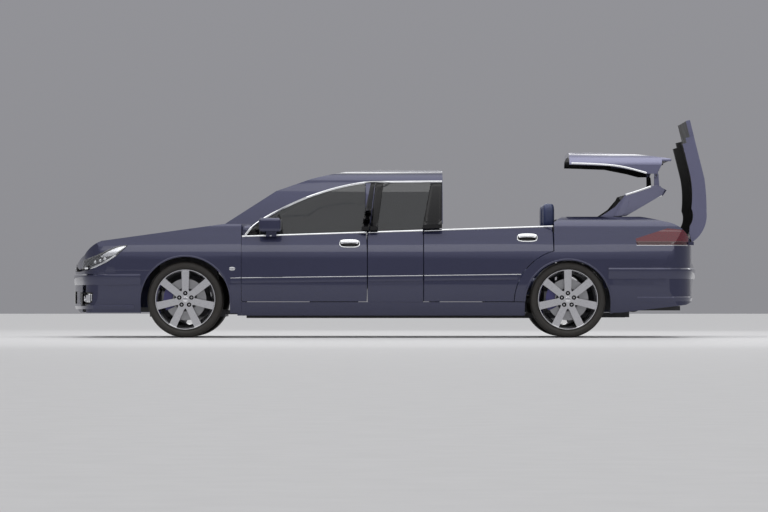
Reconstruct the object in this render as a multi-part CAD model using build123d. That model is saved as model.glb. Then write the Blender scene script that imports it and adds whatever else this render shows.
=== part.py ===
"""Long-wheelbase landaulet: closed front cabin, open rear compartment, folding hard rear roof.

Millimetres, +Z up, nose towards -X. While modelling, x is measured from the front axle and z from
the ground. At the end everything moves along X, so that the origin lies under the middle.
"""
import math
import os

from build123d import *

os.makedirs("parts", exist_ok=True)

# Driving dimensions
WHEELBASE = 3312.0
TYRE_R = 330.0
TYRE_W = 250.0
RIM_R = 266.0
BODY_HALF = 915.0
TRACK_HALF = BODY_HALF - 147.0
FLOOR_HALF = BODY_HALF - 215.0
SILL_Z = 190.0
DOOR_BOTTOM_Z = 313.0
NOSE_X = -1004.0
TAIL_X = WHEELBASE + 1088.0
BUMPER_TAIL_X = TAIL_X + 50.0
SHUT_GAP = 6.0
WALL = 60.0
DOOR_T = 110.0
ROOF_T = 40.0
GLASS_T = 5.0
SEAT = 0.3

# Wheels and arches
FRONT_ARCH_R, FRONT_ARCH_Z = 386.0, 313.0
REAR_ARCH_R, REAR_ARCH_Z = 368.0, 301.0
WELL_R = 450.0
KINGPIN_Y = TRACK_HALF - 68.0
HUB_R = 75.0
DISC_R = 180.0
SPOKES = 7
SPOKE_W = 62.0
DISC_Y = (-40.0, -12.0)
KNUCKLE_DOWN = 110.0
BOLT_PCD = 108.0
BOLT_COUNT = 5
BOLT_R = 7.0

# Shut lines along the side
FRONT_DOOR_X = (487.0, 1573.0)
REAR_DOOR_X = (2066.0, WHEELBASE - 124.0)
BELT_Z0, BELT_X0, BELT_SLOPE = 884.0, 518.0, 0.0326
BONNET_HALF = BODY_HALF - 275.0
COWL_X, COWL_Z = 330.0, 985.0
BONNET_NOSE_X, BONNET_NOSE_Z = -725.0, 838.0
ROOF_END_X = 2230.0
FLOOR_Z = 215.0
WELL_Z = 430.0
DECK_X = WHEELBASE - 12.0
DECK_Z = 1075.0

# Roof mechanism: shell about PIVOT, panel at ELBOW, lid about LID_PIVOT
PIVOT = (WHEELBASE + 280.0, 990.0)
ELBOW = (WHEELBASE + 781.0, 1411.0)
LID_PIVOT = (TAIL_X - 2.0, 816.0)
RAISE_DEG = 116.0
LID_DEG = 76.0
LID_HALF = BODY_HALF - 225.0
QUARTER_INNER = LID_HALF + 45.0
LID_T = 35.0
PANEL_SIDE = BODY_HALF - 290.0
HINGE_GAP = 0.3
HINGE_LEAF_Y = (862.0, 892.0)
HINGE_LEAF_Z = (440.0, 720.0)


def rear(offset):
    """x of a place that is measured from the rear axle."""
    return WHEELBASE + offset


def belt(x):
    """Height of the window sill line at x."""
    return BELT_Z0 + BELT_SLOPE * (x - BELT_X0)


def outline(start, *steps):
    """Face from a closed outline. A step is a point, or a pair (middle, end) for an arc."""
    edges, here = [], start
    for step in steps:
        if isinstance(step[0], tuple):
            edges.append(ThreePointArc(here, step[0], step[1]))
            here = step[1]
        else:
            edges.append(Line(here, step))
            here = step
    if here != start:
        edges.append(Line(here, start))
    return make_face(edges)


def side(face, y0, y1):
    """Solid from a face drawn in x and z, between two values of y."""
    return Pos(0, y1, 0) * extrude(Plane.XZ * face, y1 - y0)


def section(face, x0, x1):
    """Solid from a face drawn in y and z, between two values of x."""
    return Pos(x0, 0, 0) * extrude(Plane.YZ * face, x1 - x0)


def block(x0, x1, y0, y1, z0, z1):
    """Box from its lowest to its highest corner."""
    return Pos((x0 + x1) / 2, (y0 + y1) / 2, (z0 + z1) / 2) * Box(x1 - x0, y1 - y0, z1 - z0)


def across(x, z, r, y0, y1):
    """Cylinder along Y."""
    return Pos(x, (y0 + y1) / 2, z) * Rot(90, 0, 0) * Cylinder(r, abs(y1 - y0))


def both(solid):
    """The solid and its mirror image on the car's other side."""
    return [solid, mirror(solid, about=Plane.XZ)]


def on_side(solid, hand):
    """A solid drawn on the left, at negative y, or its mirror image for the right."""
    return solid if hand < 0 else mirror(solid, about=Plane.XZ)


def largest(solid):
    """The biggest solid of a cut, without its slivers."""
    return solid.solids().sort_by(SortBy.VOLUME)[-1]


def body_form(t=0.0):
    """Lower body as one closed form, taken in by t on every side."""
    profile = side(outline(
        (-925 + t, SILL_Z + 20 + t), (NOSE_X + t, 300), (NOSE_X + t, 542),
        ((-960 + t, 640 - t / 2), (-880 + t, 715 - t)),
        ((-812 + t, 790 - t), (BONNET_NOSE_X, BONNET_NOSE_Z - t)), (COWL_X, COWL_Z - t),
        (rear(-712), COWL_Z - t), (rear(-127), 995 - t), (DECK_X, DECK_Z - t), (rear(428), DECK_Z - 7 - t),
        ((rear(648), DECK_Z - 28 - t), (rear(848) - t / 2, 1006 - t)),
        ((rear(988) - t * 0.7, 945 - t * 0.7), (TAIL_X - 3 - t, 780)), (TAIL_X - t, 650),
        (BUMPER_TAIL_X - t, 603), (BUMPER_TAIL_X - t, 574), (TAIL_X - t, 424), (TAIL_X - t, 310 + t),
        (rear(1028) - t, 284 + t), (rear(634), 237 + t), (rear(412), SILL_Z + 20 + t), (rear(-390), SILL_Z + t),
        (393, SILL_Z + t)), -1000, 1000)
    w = BODY_HALF - t
    skin = section(outline(
        (-(w - 85), SILL_Z - 10), (w - 85, SILL_Z - 10), ((w - 20, 340), (w, 560)),
        ((w - 12, 760), (w - 65, 920)), ((w - 115, 1010 - t / 2), (w - 225, 1058 - t)),
        ((0, 1088 - t), (225 - w, 1058 - t)), ((-w + 115, 1010 - t / 2), (-w + 65, 920)),
        ((-w + 12, 760), (-w, 560)), ((-w + 20, 340), (-w + 85, SILL_Z - 10))), NOSE_X - 50, BUMPER_TAIL_X + 50)
    nose, tail = NOSE_X + t, BUMPER_TAIL_X + 2 - t
    plan = extrude(outline(
        (-600, -w), ((-790, -w + 42), (nose + 124, 155 - w)), ((nose, 0), (nose + 124, w - 155)),
        ((-790, w - 42), (-600, w)), (rear(738), w), ((rear(988), w - 70), (tail - 62, BODY_HALF - 255)),
        ((tail, 0), (tail - 62, 255 - BODY_HALF)), ((rear(988), -w + 70), (rear(738), -w))), 1300)
    rise = BONNET_NOSE_Z - COWL_Z
    run = BONNET_NOSE_X - COWL_X
    slope = rise / run
    crown = side(outline((NOSE_X - 60, COWL_Z + slope * (NOSE_X - 60 - COWL_X) - t), (COWL_X, COWL_Z - t),
                         (COWL_X, SILL_Z - 60), (NOSE_X - 60, SILL_Z - 60)), -1000, 1000)
    return profile & skin & plan & (crown + block(COWL_X, BUMPER_TAIL_X + 60, -1000, 1000, 100, 1300))


def cabin_form(t=0.0):
    """Upper cabin as one closed form, taken in by t. The folding roof is cut from it too."""
    profile = side(outline(
        (300 + t * 1.7, 850), (300 + t * 1.7, 960), (784 + t, 1275 - t), (1082, 1379 - t),
        ((1440, 1450 - t), (1780, 1467 - t)), (2230, 1464 - t), ((rear(-612), 1452 - t), (rear(-122) - t / 2, 1392 - t)),
        (rear(288) - t, 1076), (rear(288) - t, 850)), -1000, 1000)
    w = BODY_HALF - t
    skin = section(outline(
        (-(w - 70), 850), (w - 70, 850), ((w - 185, 1130), (w - 290, 1350)),
        ((w - 335, 1415 - t / 2), (w - 435, 1444 - t)), ((0, 1476 - t), (-w + 435, 1444 - t)),
        ((-w + 335, 1415 - t / 2), (-w + 290, 1350)), ((-w + 185, 1130), (-w + 70, 850))), 200, rear(388))
    return profile & skin


print("forms")
outer, inner, liner = body_form(), body_form(WALL), body_form(DOOR_T)
cabin, cabin_inner, cabin_glass = cabin_form(), cabin_form(ROOF_T), cabin_form(GLASS_T)
shell = outer - inner
frame_shell = cabin - cabin_inner

nodes = {}


def keep(name, *solids):
    """Store a node's solids."""
    found = [s for solid in solids for s in solid.solids()]
    nodes[name] = found
    return found


# Cutters that several panels share
front_wheel = both(across(0, FRONT_ARCH_Z, FRONT_ARCH_R, BODY_HALF - 70, 1000)
                   + block(-FRONT_ARCH_R, FRONT_ARCH_R, BODY_HALF - 70, 1000, 0, FRONT_ARCH_Z)
                   + across(0, FRONT_ARCH_Z, WELL_R, 400, BODY_HALF - 69)
                   + block(-WELL_R, WELL_R, 400, BODY_HALF - 69, 0, FRONT_ARCH_Z))
rear_wheel = both(across(WHEELBASE, REAR_ARCH_Z, REAR_ARCH_R, 600, 1000)
                  + block(WHEELBASE - REAR_ARCH_R, WHEELBASE + REAR_ARCH_R, 600, 1000, 0, REAR_ARCH_Z))
belt_top = side(outline((400, belt(400)), (rear(-62), belt(rear(-62))), (rear(-62), 1700), (400, 1700)), -1000, 1000)
bumper_front = side(outline((-1100, 100), (-FRONT_ARCH_R - 8, 100), (-FRONT_ARCH_R - 8, 582), (-850, 582),
                            (-930, 572), (-1100, 572)), -1000, 1000)
bumper_rear = side(outline((WHEELBASE + REAR_ARCH_R + 20, 100), (rear(1288), 100), (rear(1288), 640),
                           (rear(888), 640), (WHEELBASE + REAR_ARCH_R + 20, 625)), -1000, 1000)
headlamp_zone = side(outline((-935, 590), (-895, 590), (-770, 680), (-545, 745), (-495, 800), (-560, 860),
                             (-1000, 800), (-1000, 640)), 430, 1000)
lamp_zone = side(outline((rear(586), 857), (rear(864), 947), (rear(988), 935), (rear(1188), 935), (rear(1188), 802), (rear(603), 802)),
                 QUARTER_INNER + 4, 1000)
BONNET_END_X = COWL_X - 8
BONNET_HINGE = (314.0, 970.0)
HINGE_PIN_R = 6.0
bonnet_zone = block(BONNET_NOSE_X - 10, BONNET_END_X, -BONNET_HALF, BONNET_HALF, 700, 1100)

print("panels")
wing = shell & block(NOSE_X, FRONT_DOOR_X[0] - SHUT_GAP / 2, 300, 1000, 100, 1200)
wing = wing - bumper_front - front_wheel[0] - headlamp_zone
wing = wing - block(NOSE_X, COWL_X + SHUT_GAP, 0, BONNET_HALF + SHUT_GAP, 600, 1200)
wing = wing - block(NOSE_X, FRONT_DOOR_X[0], 0, BODY_HALF - 85, 100, 620)
wing = wing - block(NOSE_X, -860, 0, 1000, 100, 800)
for z in HINGE_LEAF_Z:
    wing = wing + block(FRONT_DOOR_X[0] - SHUT_GAP, FRONT_DOOR_X[0] - HINGE_GAP, *HINGE_LEAF_Y, z, z + 60)
wing = wing + across(*BONNET_HINGE, HINGE_PIN_R, BONNET_HALF - 36, BONNET_HALF + 20)
keep("front_wings", *both(largest(wing)))

bonnet = (outer - body_form(30)) & bonnet_zone
for hand in (-1, 1):
    bonnet = bonnet - on_side(across(*BONNET_HINGE, HINGE_PIN_R + 0.05, -BONNET_HALF - 5, -BONNET_HALF + 40), hand)
keep("bonnet", largest(bonnet))

bumper = (shell & bumper_front) - front_wheel[0] - front_wheel[1]
bumper = bumper - block(NOSE_X - 10, NOSE_X + 90, -430, 430, 290, 400)
fog = both(Pos(-900, 640, 335) * Rot(0, 90, 0) * Cylinder(56, 160))
bumper = bumper - fog[0] - fog[1]
bumper = bumper - block(NOSE_X - 50, -300, -1000, 1000, 0, 215) - block(-900, -300, -790, 790, 100, 530)
keep("front_bumper", largest(bumper))
keep("fog_lamps", *both((outer & (Pos(-900, 640, 335) * Rot(0, 90, 0) * Cylinder(56 - SEAT, 160)))
                        - body_form(70)))
grille_zone = block(NOSE_X - 10, -850, -420, 420, 560, 730) - Pos(0, 0, SEAT) * bumper_front
keep("grille", (outer - body_form(50)) & grille_zone)
head = (outer - body_form(90)) & headlamp_zone & block(-1100, -400, 430, 1000, 590, 900)
head = head - block(BONNET_NOSE_X - 16, COWL_X, 0, BONNET_HALF + SHUT_GAP, 600, 1200)
keep("headlamps", *both(largest(head)))

DOOR_INNER = BODY_HALF - DOOR_T - 66
door_shell = outer - liner - block(0, rear(688), -DOOR_INNER, DOOR_INNER, COWL_Z - DOOR_T - 5, 1300)


def door(x0, x1, z0):
    """Left door between two shut lines, its rear edge slanted so that it swings clear."""
    zone = extrude(outline((x0, -1000), (x1, -1000), (x1, -BODY_HALF), (x1 - 40, -BODY_HALF + 250),
                           (x0, -BODY_HALF + 250)), 1200)
    return (door_shell & zone & block(x0, x1, -1000, -500, z0, 1200)) - belt_top


front_door = door(FRONT_DOOR_X[0], FRONT_DOOR_X[1], DOOR_BOTTOM_Z)
rear_door = door(REAR_DOOR_X[0], REAR_DOOR_X[1], DOOR_BOTTOM_Z)
rear_door = rear_door - across(WHEELBASE, REAR_ARCH_Z, REAR_ARCH_R + 100, -1000, -500)
rear_door = rear_door - across(WHEELBASE, REAR_ARCH_Z, REAR_ARCH_R + 124, -BODY_HALF + 30, -500)
mirror_box = Pos(735, -BODY_HALF - 40, 975) * Box(190, 150, 120)
mirror_box = fillet(mirror_box.edges(), 28)
mirror_arm = Pos(745, -BODY_HALF + 34, 905) * Box(90, 84, 60)
keep("door_front_left", front_door + mirror_box + mirror_arm)
keep("door_front_right", mirror(front_door + mirror_box + mirror_arm, about=Plane.XZ))
keep("door_rear_left", rear_door)
keep("door_rear_right", mirror(rear_door, about=Plane.XZ))

mid = door_shell & block(FRONT_DOOR_X[1] + SHUT_GAP, REAR_DOOR_X[0] - SHUT_GAP, 500, 1000, DOOR_BOTTOM_Z - 6, 1200)
mid = mid - belt_top
for z in HINGE_LEAF_Z:
    mid = mid + block(REAR_DOOR_X[0] - SHUT_GAP - 1, REAR_DOOR_X[0] - HINGE_GAP, *HINGE_LEAF_Y, z, z + 60)
keep("mid_panels", *both(largest(mid)))
sill_zone = block(FRONT_DOOR_X[0] - SHUT_GAP / 2 + SEAT, WHEELBASE - REAR_ARCH_R - 4, FLOOR_HALF, 1000,
                  100, DOOR_BOTTOM_Z - SHUT_GAP)
keep("sills", *both(outer & sill_zone))

around_arch = across(WHEELBASE, REAR_ARCH_Z, REAR_ARCH_R + 100 - SHUT_GAP, QUARTER_INNER, 1000)
quarter = shell & (block(REAR_DOOR_X[1] + SHUT_GAP, rear(1288), QUARTER_INNER, 1000, 100, 1200) + around_arch)
quarter = quarter + (outer & block(DECK_X, rear(1068), QUARTER_INNER, QUARTER_INNER + 25, 640, 1200))
low_front = block(rear(-612), WHEELBASE, 500, 1000, 0, DOOR_BOTTOM_Z)
quarter = quarter - rear_wheel[0] - bumper_rear - lamp_zone - low_front
keep("rear_quarters", *both(largest(quarter)))
tail_lamp = ((outer - body_form(50)) & lamp_zone) - block(0, rear(1688), 0, QUARTER_INNER + 26, 0, 2000)
keep("tail_lamps", *both(largest(tail_lamp)))
rear_bumper = (shell & bumper_rear) - rear_wheel[0] - rear_wheel[1]
rear_bumper = (rear_bumper & block(rear(-312), rear(1288), -1000, 1000, 215, 700)) - block(rear(288), rear(1018), -790, 790, 100, 570)
keep("rear_bumper", largest(rear_bumper))

print("cabin")
# Side windows: name, outline in x and z
front_window = outline((600, 700), (600, 960), ((930, 1160), (1380, 1322)), (1560, 1345), (1560, 700))
mid_window = outline((1640, 700), (1640, 1348), (2126, 1352), (2126, 700))
front_pane = offset(front_window, -5)
windows = side(front_window, -1000, 1000) + side(mid_window, -1000, 1000)
screen_zone = section(outline((-690, 930), (690, 930), (520, 1352), (-520, 1352)), 200, 1300)
roof = frame_shell & block(300, ROOF_END_X, -1000, 1000, 850, 1600)
roof = roof - windows - screen_zone
below = side(outline((200, 800), (ROOF_END_X + 10, 800), (ROOF_END_X + 10, belt(ROOF_END_X) + SHUT_GAP),
                     (FRONT_DOOR_X[0] - 3, belt(FRONT_DOOR_X[0]) + SHUT_GAP), (200, belt(487) + SHUT_GAP)),
             -1000, 1000)
roof = roof - below - body_form(-SEAT)
post = block(2126, 2155, 650, 698, FLOOR_Z + 30 + SEAT, 966) + block(2126, 2155, 650, 765, 965, 1040)
for hand in (-1, 1):
    roof = roof + on_side(mirror(post, about=Plane.XZ), hand)
keep("front_roof", largest(roof))

screen = (cabin - cabin_glass) & section(offset(outline((-690, 930), (690, 930), (520, 1352), (-520, 1352)),
                                                -SEAT), 200, 1300)
screen = screen - body_form(-SEAT)
keep("windscreen", largest(screen))
pane = (cabin - cabin_glass) & block(300, ROOF_END_X, -1000, -400, 850, 1500)
pane_foot = side(outline((400, belt(400) + SEAT), (rear(-62), belt(rear(-62)) + SEAT), (rear(-62), 1700), (400, 1700)), -1000, 1000)
left_pane = pane & side(front_pane, -1000, -400) & pane_foot
keep("front_glass_left", left_pane)
keep("front_glass_right", mirror(left_pane, about=Plane.XZ))
keep("mid_windows", *both(pane & side(offset(mid_window, -SEAT), -1000, -400) & pane_foot))

PARTITION_X = 2160.0
partition = block(PARTITION_X, PARTITION_X + 45, -640, 640, 250, 940)
partition = partition + (block(PARTITION_X + 10, PARTITION_X + 22, -700, 700, 938, 1400) & cabin_form(ROOF_T + SEAT))
keep("partition", partition)

print("inside")
floor = block(470, rear(-352), 1 - FLOOR_HALF, FLOOR_HALF - 1, FLOOR_Z, FLOOR_Z + 30)
floor = floor + block(rear(-382), rear(-352), 1 - FLOOR_HALF, FLOOR_HALF - 1, FLOOR_Z, WELL_Z) + block(rear(-382), rear(988), -600, 600, WELL_Z - 30, WELL_Z)
floor = floor + block(rear(-42), rear(-17), -600, 600, WELL_Z - 10, 985 - SEAT) + block(440, 470, 1 - FLOOR_HALF, FLOOR_HALF - 1, FLOOR_Z, 900)
floor = floor + block(COWL_X + 30, 470, -600, 600, 860, 900)
keep("floor_pan", floor)
WHEEL_AT = (985.0, -370.0, 800.0)
COLUMN_R, COLUMN_LENGTH = 24.0, 240.0
wheel_place = Pos(*WHEEL_AT) * Rot(0, 65, 0)
dash = block(500, 800, -665 + SEAT, 665 - SEAT, 620, 880) - across(800, 560, 120, -700, 700)
dash = dash + block(470 + SEAT, 501, -500, 500, 650, 800)
keep("dashboard", dash - wheel_place * Pos(0, 0, -COLUMN_LENGTH / 2) * Cylinder(COLUMN_R + SEAT, COLUMN_LENGTH + 10))
steering = Torus(180, 15) + Cylinder(60, 26) + Box(350, 34, 16)
steering = steering + Pos(0, 0, -COLUMN_LENGTH / 2) * Cylinder(COLUMN_R, COLUMN_LENGTH)
keep("steering_wheel", wheel_place * steering)


def seat(x, y, width, back_top, head):
    """Seat with its cushion, back and headrest. head is the headrest's half width."""
    base = FLOOR_Z + 30
    solid = fillet(block(x, x + 540, y - width / 2, y + width / 2, base + 90, base + 250).edges(), 40)
    solid = solid + block(x + 60, x + 480, y - width / 2 + 60, y + width / 2 - 60, base, base + 120)
    back = Pos(x + 500, y, base + 160) * Rot(0, 12, 0)
    height = back_top - base - 160
    rest = block(-60, 60, -width / 2, width / 2, 0, height)
    solid = solid + back * fillet(rest.edges(), 40)
    solid = solid + back * (Pos(0, 0, height + 60) * fillet(Box(80, 2 * head, 170).edges(), 30))
    return solid + back * block(-12, 12, -50, 50, height - 30, height + 20)


keep("front_seats", seat(1010, -370, 500, 860, 130), seat(1010, 370, 500, 860, 130))
bench = fillet(block(rear(-752), rear(-192), -590, 590, 360, 520).edges(), 45) + block(rear(-712), rear(-352), -560, 560, FLOOR_Z + 30, 400)
bench = bench + fillet(block(rear(-252), rear(-92), -590, 590, WELL_Z + SEAT, 930).edges(), 45)
for y in (-370, 370):
    bench = bench + fillet(block(rear(-202), rear(-102), y - 130, y + 130, 960, 1170).edges(), 30)
    bench = bench + block(rear(-172), rear(-132), y - 60, y + 60, 900, 990)
keep("rear_seat", bench - block(rear(-382) - SEAT, rear(-182), -600, 600, 200, WELL_Z + SEAT))
keep("rear_deck", block(rear(-86), rear(28), -QUARTER_INNER + SEAT, QUARTER_INNER - SEAT, 985, 1012)
     + block(rear(-72), rear(-42) - SEAT, -600, 600, 700, 1000))

print("chassis")
keep("engine_block", block(-250, 250, -250, 250, 260, 700))
keep("fuel_tank", block(rear(108), rear(388), -420, 420, 240, WELL_Z - 30 - SEAT))
pipe = across(rear(588), 300, 80, -420, 300) + block(500, rear(-12), 130, 175, 165, 210) + block(rear(-52), rear(548), 205, 250, 170, 214)
pipe = pipe + block(rear(-72), rear(-12), 130, 250, 165, 214) + block(rear(528), rear(588), 205, 250, 172, 300)
keep("exhaust", pipe + block(rear(568), rear(1048), 330, 372, 232, 272) + block(rear(568), rear(608), 290, 372, 232, 272)
     + block(rear(568), rear(608), 0, 40, 370, WELL_Z - 30))

print("wheels")


def rim_solid():
    """Wheel about its own centre, axis along Y, with its outer face towards -Y."""
    barrel = Rot(90, 0, 0) * (Cylinder(RIM_R, TYRE_W - 36) - Cylinder(RIM_R - 14, TYRE_W))
    barrel = barrel & (Rot(90, 0, 0) * Cylinder(RIM_R, TYRE_W))
    wheel = barrel
    for i in range(SPOKES):
        spoke = block(-SPOKE_W / 2, SPOKE_W / 2, -102, -72, 30, RIM_R - 6)
        wheel = wheel + Rot(0, i * 360 / SPOKES, 0) * spoke
    wheel = wheel + across(0, 0, HUB_R, -108, DISC_Y[1]) + across(0, 0, DISC_R, *DISC_Y)
    for i in range(BOLT_COUNT):
        wheel = wheel - Rot(0, (i + 0.5) * 360 / BOLT_COUNT, 0) * across(0, BOLT_PCD / 2, BOLT_R, -110, -70)
    return wheel


# Upright about the wheel's steering axis, with its spindle, caliper and bracket, outside towards -Y
disc_out, disc_in = KINGPIN_Y - TRACK_HALF + DISC_Y[0], KINGPIN_Y - TRACK_HALF + DISC_Y[1]
knuckle = block(-45, 45, -30, 30, -KNUCKLE_DOWN, 150) + across(0, 0, 30, disc_in + SEAT, 30)
knuckle = knuckle + block(-190, -40, disc_in + 14, -28, -45, 45)
caliper = block(-205, -115, disc_out - 16, disc_in + 24, -70, 70)
knuckle = knuckle + (caliper - across(0, 0, DISC_R + 8, disc_out - 4, disc_in + 4))


def tyre_solid():
    """Tyre about its own centre, closed over the rim's outside."""
    half = TYRE_W / 2
    profile = outline((RIM_R + 0.3, -half + 14), (RIM_R + 18, -half), (TYRE_R - 26, -half),
                      ((TYRE_R - 8, -half + 8), (TYRE_R, -half + 30)), (TYRE_R, half - 30),
                      ((TYRE_R - 8, half - 8), (TYRE_R - 26, half)), (RIM_R + 18, half), (RIM_R + 0.3, half - 14))
    return revolve(Plane.XY * profile, Axis.Y)


wheel_rim, wheel_tyre = rim_solid(), tyre_solid()
# Wheel name, x, side of the car
WHEELS = [("front_left", 0, -1), ("front_right", 0, 1), ("rear_left", WHEELBASE, -1), ("rear_right", WHEELBASE, 1)]
for name, x, hand in WHEELS:
    place = Pos(x, -TRACK_HALF, TYRE_R)
    keep("rim_" + name, on_side(place * wheel_rim, hand))
    keep("tyre_" + name, on_side(place * wheel_tyre, hand))
for name, hand in (("left", -1), ("right", 1)):
    keep("knuckle_" + name, on_side(Pos(0, -KINGPIN_Y, TYRE_R) * knuckle, hand))

subframe = block(-330, 330, -420, -340, 180, 240) + block(-330, 330, 340, 420, 180, 240)
subframe = subframe + block(-330, -250, -420, 420, 180, 240) + block(250, 330, -420, 420, 180, 240)
ARM_TOP = TYRE_R - KNUCKLE_DOWN - SEAT
for hand in (-1, 1):
    subframe = subframe + on_side(block(-60, 60, -560, -345, 190, ARM_TOP) + block(-25, 25, -KINGPIN_Y - 30, -555, 190, ARM_TOP), hand)
    subframe = subframe + on_side(block(-251, -200, -345, -200, 200, 260) + block(200, 251, -345, -200, 200, 260), hand)
    subframe = subframe + on_side(block(320, 440 - SEAT, -380, -350, 200, 235) + block(-900 + SEAT, -320, -380, -350, 225, 260), hand)
keep("front_subframe", subframe)
axle = block(WHEELBASE - 45, WHEELBASE + 45, 10 - KINGPIN_Y, KINGPIN_Y - 10, 290, 350)
for hand in (-1, 1):
    axle = axle + on_side(Pos(WHEELBASE, -KINGPIN_Y, TYRE_R) * knuckle, hand)
    axle = axle + on_side(block(rear(-352), WHEELBASE, -525, -475, 300, 340)
                          + block(rear(-22), rear(18), -525, -475, 320, WELL_Z - 30), hand)
keep("rear_axle", axle)

print("roof")


def turned(solid, pivot, degrees):
    """The solid turned about a line along Y; a positive turn takes its top rearwards."""
    return Pos(pivot[0], 0, pivot[1]) * Rot(0, degrees, 0) * Pos(-pivot[0], 0, -pivot[1]) * solid


# The raised roof is drawn closed, where it continues the cabin, and then turned to its place
arm_dx, arm_dz = ELBOW[0] - PIVOT[0], ELBOW[1] - PIVOT[1]
turn_back = math.radians(RAISE_DEG)
ELBOW_UP = (PIVOT[0] + arm_dx * math.cos(turn_back) - arm_dz * math.sin(turn_back),
            PIVOT[1] + arm_dx * math.sin(turn_back) + arm_dz * math.cos(turn_back))
PANEL_X = (ROOF_END_X + SHUT_GAP, rear(-264))
FLAP_X, FLAP_T = rear(-187), 10.0
ELBOW_Y = dict(shell=(PANEL_SIDE - 43, PANEL_SIDE - 33), link=(PANEL_SIDE - 31, PANEL_SIDE - 23),
               panel=(PANEL_SIDE - 21, PANEL_SIDE - 11))
panel_zone = side(outline((PANEL_X[0], 1350), (rear(-713), 1337), (rear(-512), 1297), (ELBOW_UP[0] - 6, ELBOW_UP[1] - 10),
                          (PANEL_X[1] - 4, ELBOW_UP[1] + 100), (PANEL_X[1], 1600), (PANEL_X[0], 1600)),
                  -PANEL_SIDE, PANEL_SIDE)
panel = frame_shell & panel_zone
panel = panel + ((cabin - cabin_form(FLAP_T)) & block(PANEL_X[1] - 5, FLAP_X, -PANEL_SIDE + 25, PANEL_SIDE - 25, 1300, 1600))
# Room for the window frame's sides when the roof is stowed
panel = panel - block(rear(-657), rear(-462), -PANEL_SIDE + 40, PANEL_SIDE - 40, 1250, 1394)
pin_hole = across(*ELBOW_UP, 8.05, PANEL_SIDE - 65, PANEL_SIDE + 15)
for hand in (-1, 1):
    ear = across(*ELBOW_UP, 20, *ELBOW_Y["panel"]) + block(ELBOW_UP[0] - 20, ELBOW_UP[0] + 14, *ELBOW_Y["panel"],
                                                           ELBOW_UP[1], ELBOW_UP[1] + 75)
    panel = panel + on_side(ear, -hand) - on_side(pin_hole, -hand)
    panel = panel - on_side(block(ELBOW_UP[0] - 30, ELBOW_UP[0] + 30, PANEL_SIDE - 50, ELBOW_Y["panel"][0], 1200, ELBOW_UP[1] + 32), -hand)
panel_shift = Pos(ELBOW[0] - ELBOW_UP[0], 0, ELBOW[1] - ELBOW_UP[1])
keep("roof_panel", panel_shift * largest(panel))
link = across(*ELBOW_UP, 18, *ELBOW_Y["link"]) + across(*ELBOW_UP, 8, PANEL_SIDE - 45, PANEL_SIDE - 9)
keep("roof_links", *both(panel_shift * link))

PILLAR_FOOT_Z = 1078.0
ARM_IN, ARM_OUT = LID_HALF + 10, LID_HALF + 24
SHELL_HALF = QUARTER_INNER - SHUT_GAP
WINDOW_TOP, WINDOW_FOOT = (rear(-227), 1318.0), (rear(-44), 1100.0)
pillar_zone = side(outline((rear(-244), 1292), (rear(-240), 1600), (rear(-184), 1600), (rear(-183), 1372), (rear(115), 1172), (rear(166), PILLAR_FOOT_Z),
                           (rear(-50), PILLAR_FOOT_Z)), -1000, 1000)
under_flap = cabin_form(FLAP_T + 6)
pillars = (under_flap - cabin_form(58)) & pillar_zone
rear_zone = block(rear(-312), rear(288), -560, 560, 1000, 1600) - side(
    outline((rear(-312), 1290), (rear(-172), 1290), (rear(-172), 1600), (rear(-312), 1600)), -1000, 1000)
pillars = pillars - rear_zone
pillars = pillars + (pillar_zone & under_flap & (block(rear(-312), rear(288), ARM_IN, SHELL_HALF, 1000, 1600)
                                                 + block(rear(-312), rear(288), -SHELL_HALF, -ARM_IN, 1000, 1600)))
dx, dz = WINDOW_FOOT[0] - WINDOW_TOP[0], WINDOW_FOOT[1] - WINDOW_TOP[1]
length = math.hypot(dx, dz)
ux, uz = dx / length, dz / length


def slab(along0, along1, half, t):
    """Flat plate in the rear window's plane, between two distances from its top edge."""
    corners = [(along0, -t / 2), (along1, -t / 2), (along1, t / 2), (along0, t / 2)]
    points = [(WINDOW_TOP[0] + a * ux - b * uz, WINDOW_TOP[1] + a * uz + b * ux) for a, b in corners]
    return side(outline(*points), -half, half)


frame = (slab(-25, length, 800, 24) & cabin_form(30)) - slab(20, length - 30, 540, 60)
pillars = pillars + frame
arm = side(outline((rear(-20), PILLAR_FOOT_Z), (rear(-12), 1140), (rear(108), 1150), (rear(158), PILLAR_FOOT_Z), (rear(298), 1025), (rear(313), 960),
                   (rear(248), 955), (rear(168), 1005), (rear(88), 1050)), ARM_IN, ARM_OUT)
arm = arm - across(*PIVOT, 12.05, 600, 800)
elbow_plate = side(outline((ELBOW_UP[0] - 10, ELBOW_UP[1] - 18), (ELBOW_UP[0] + 20, ELBOW_UP[1] - 12),
                           (rear(-202), 1292), (rear(-202), 1345), (rear(-240), 1325), (ELBOW_UP[0] - 14, ELBOW_UP[1] + 14)),
                   *ELBOW_Y["shell"]) + across(*ELBOW_UP, 18, *ELBOW_Y["shell"]) - pin_hole
pillars = pillars + arm + mirror(arm, about=Plane.XZ) + elbow_plate + mirror(elbow_plate, about=Plane.XZ)
pillars = pillars & block(rear(-412), rear(388), -SHELL_HALF, SHELL_HALF, 900, 1600)
# The roof panel's side rails pass between the window frame and the pillars when the roof is stowed
for hand in (-1, 1):
    pillars = pillars - on_side(block(rear(-192), rear(-2), -PANEL_SIDE - 7, -PANEL_SIDE + 47, 1060, 1215), hand)
keep("rear_shell", turned(largest(pillars), PIVOT, RAISE_DEG))
keep("rear_window", turned(slab(20 + SEAT, length - 30 - SEAT, 540 - SEAT, 5), PIVOT, RAISE_DEG))
keep("roof_quadrants", *both(across(*PIVOT, 45, ARM_OUT + 2, QUARTER_INNER - SHUT_GAP) + across(*PIVOT, 12, ARM_IN - 2, QUARTER_INNER + 16)))

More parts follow.
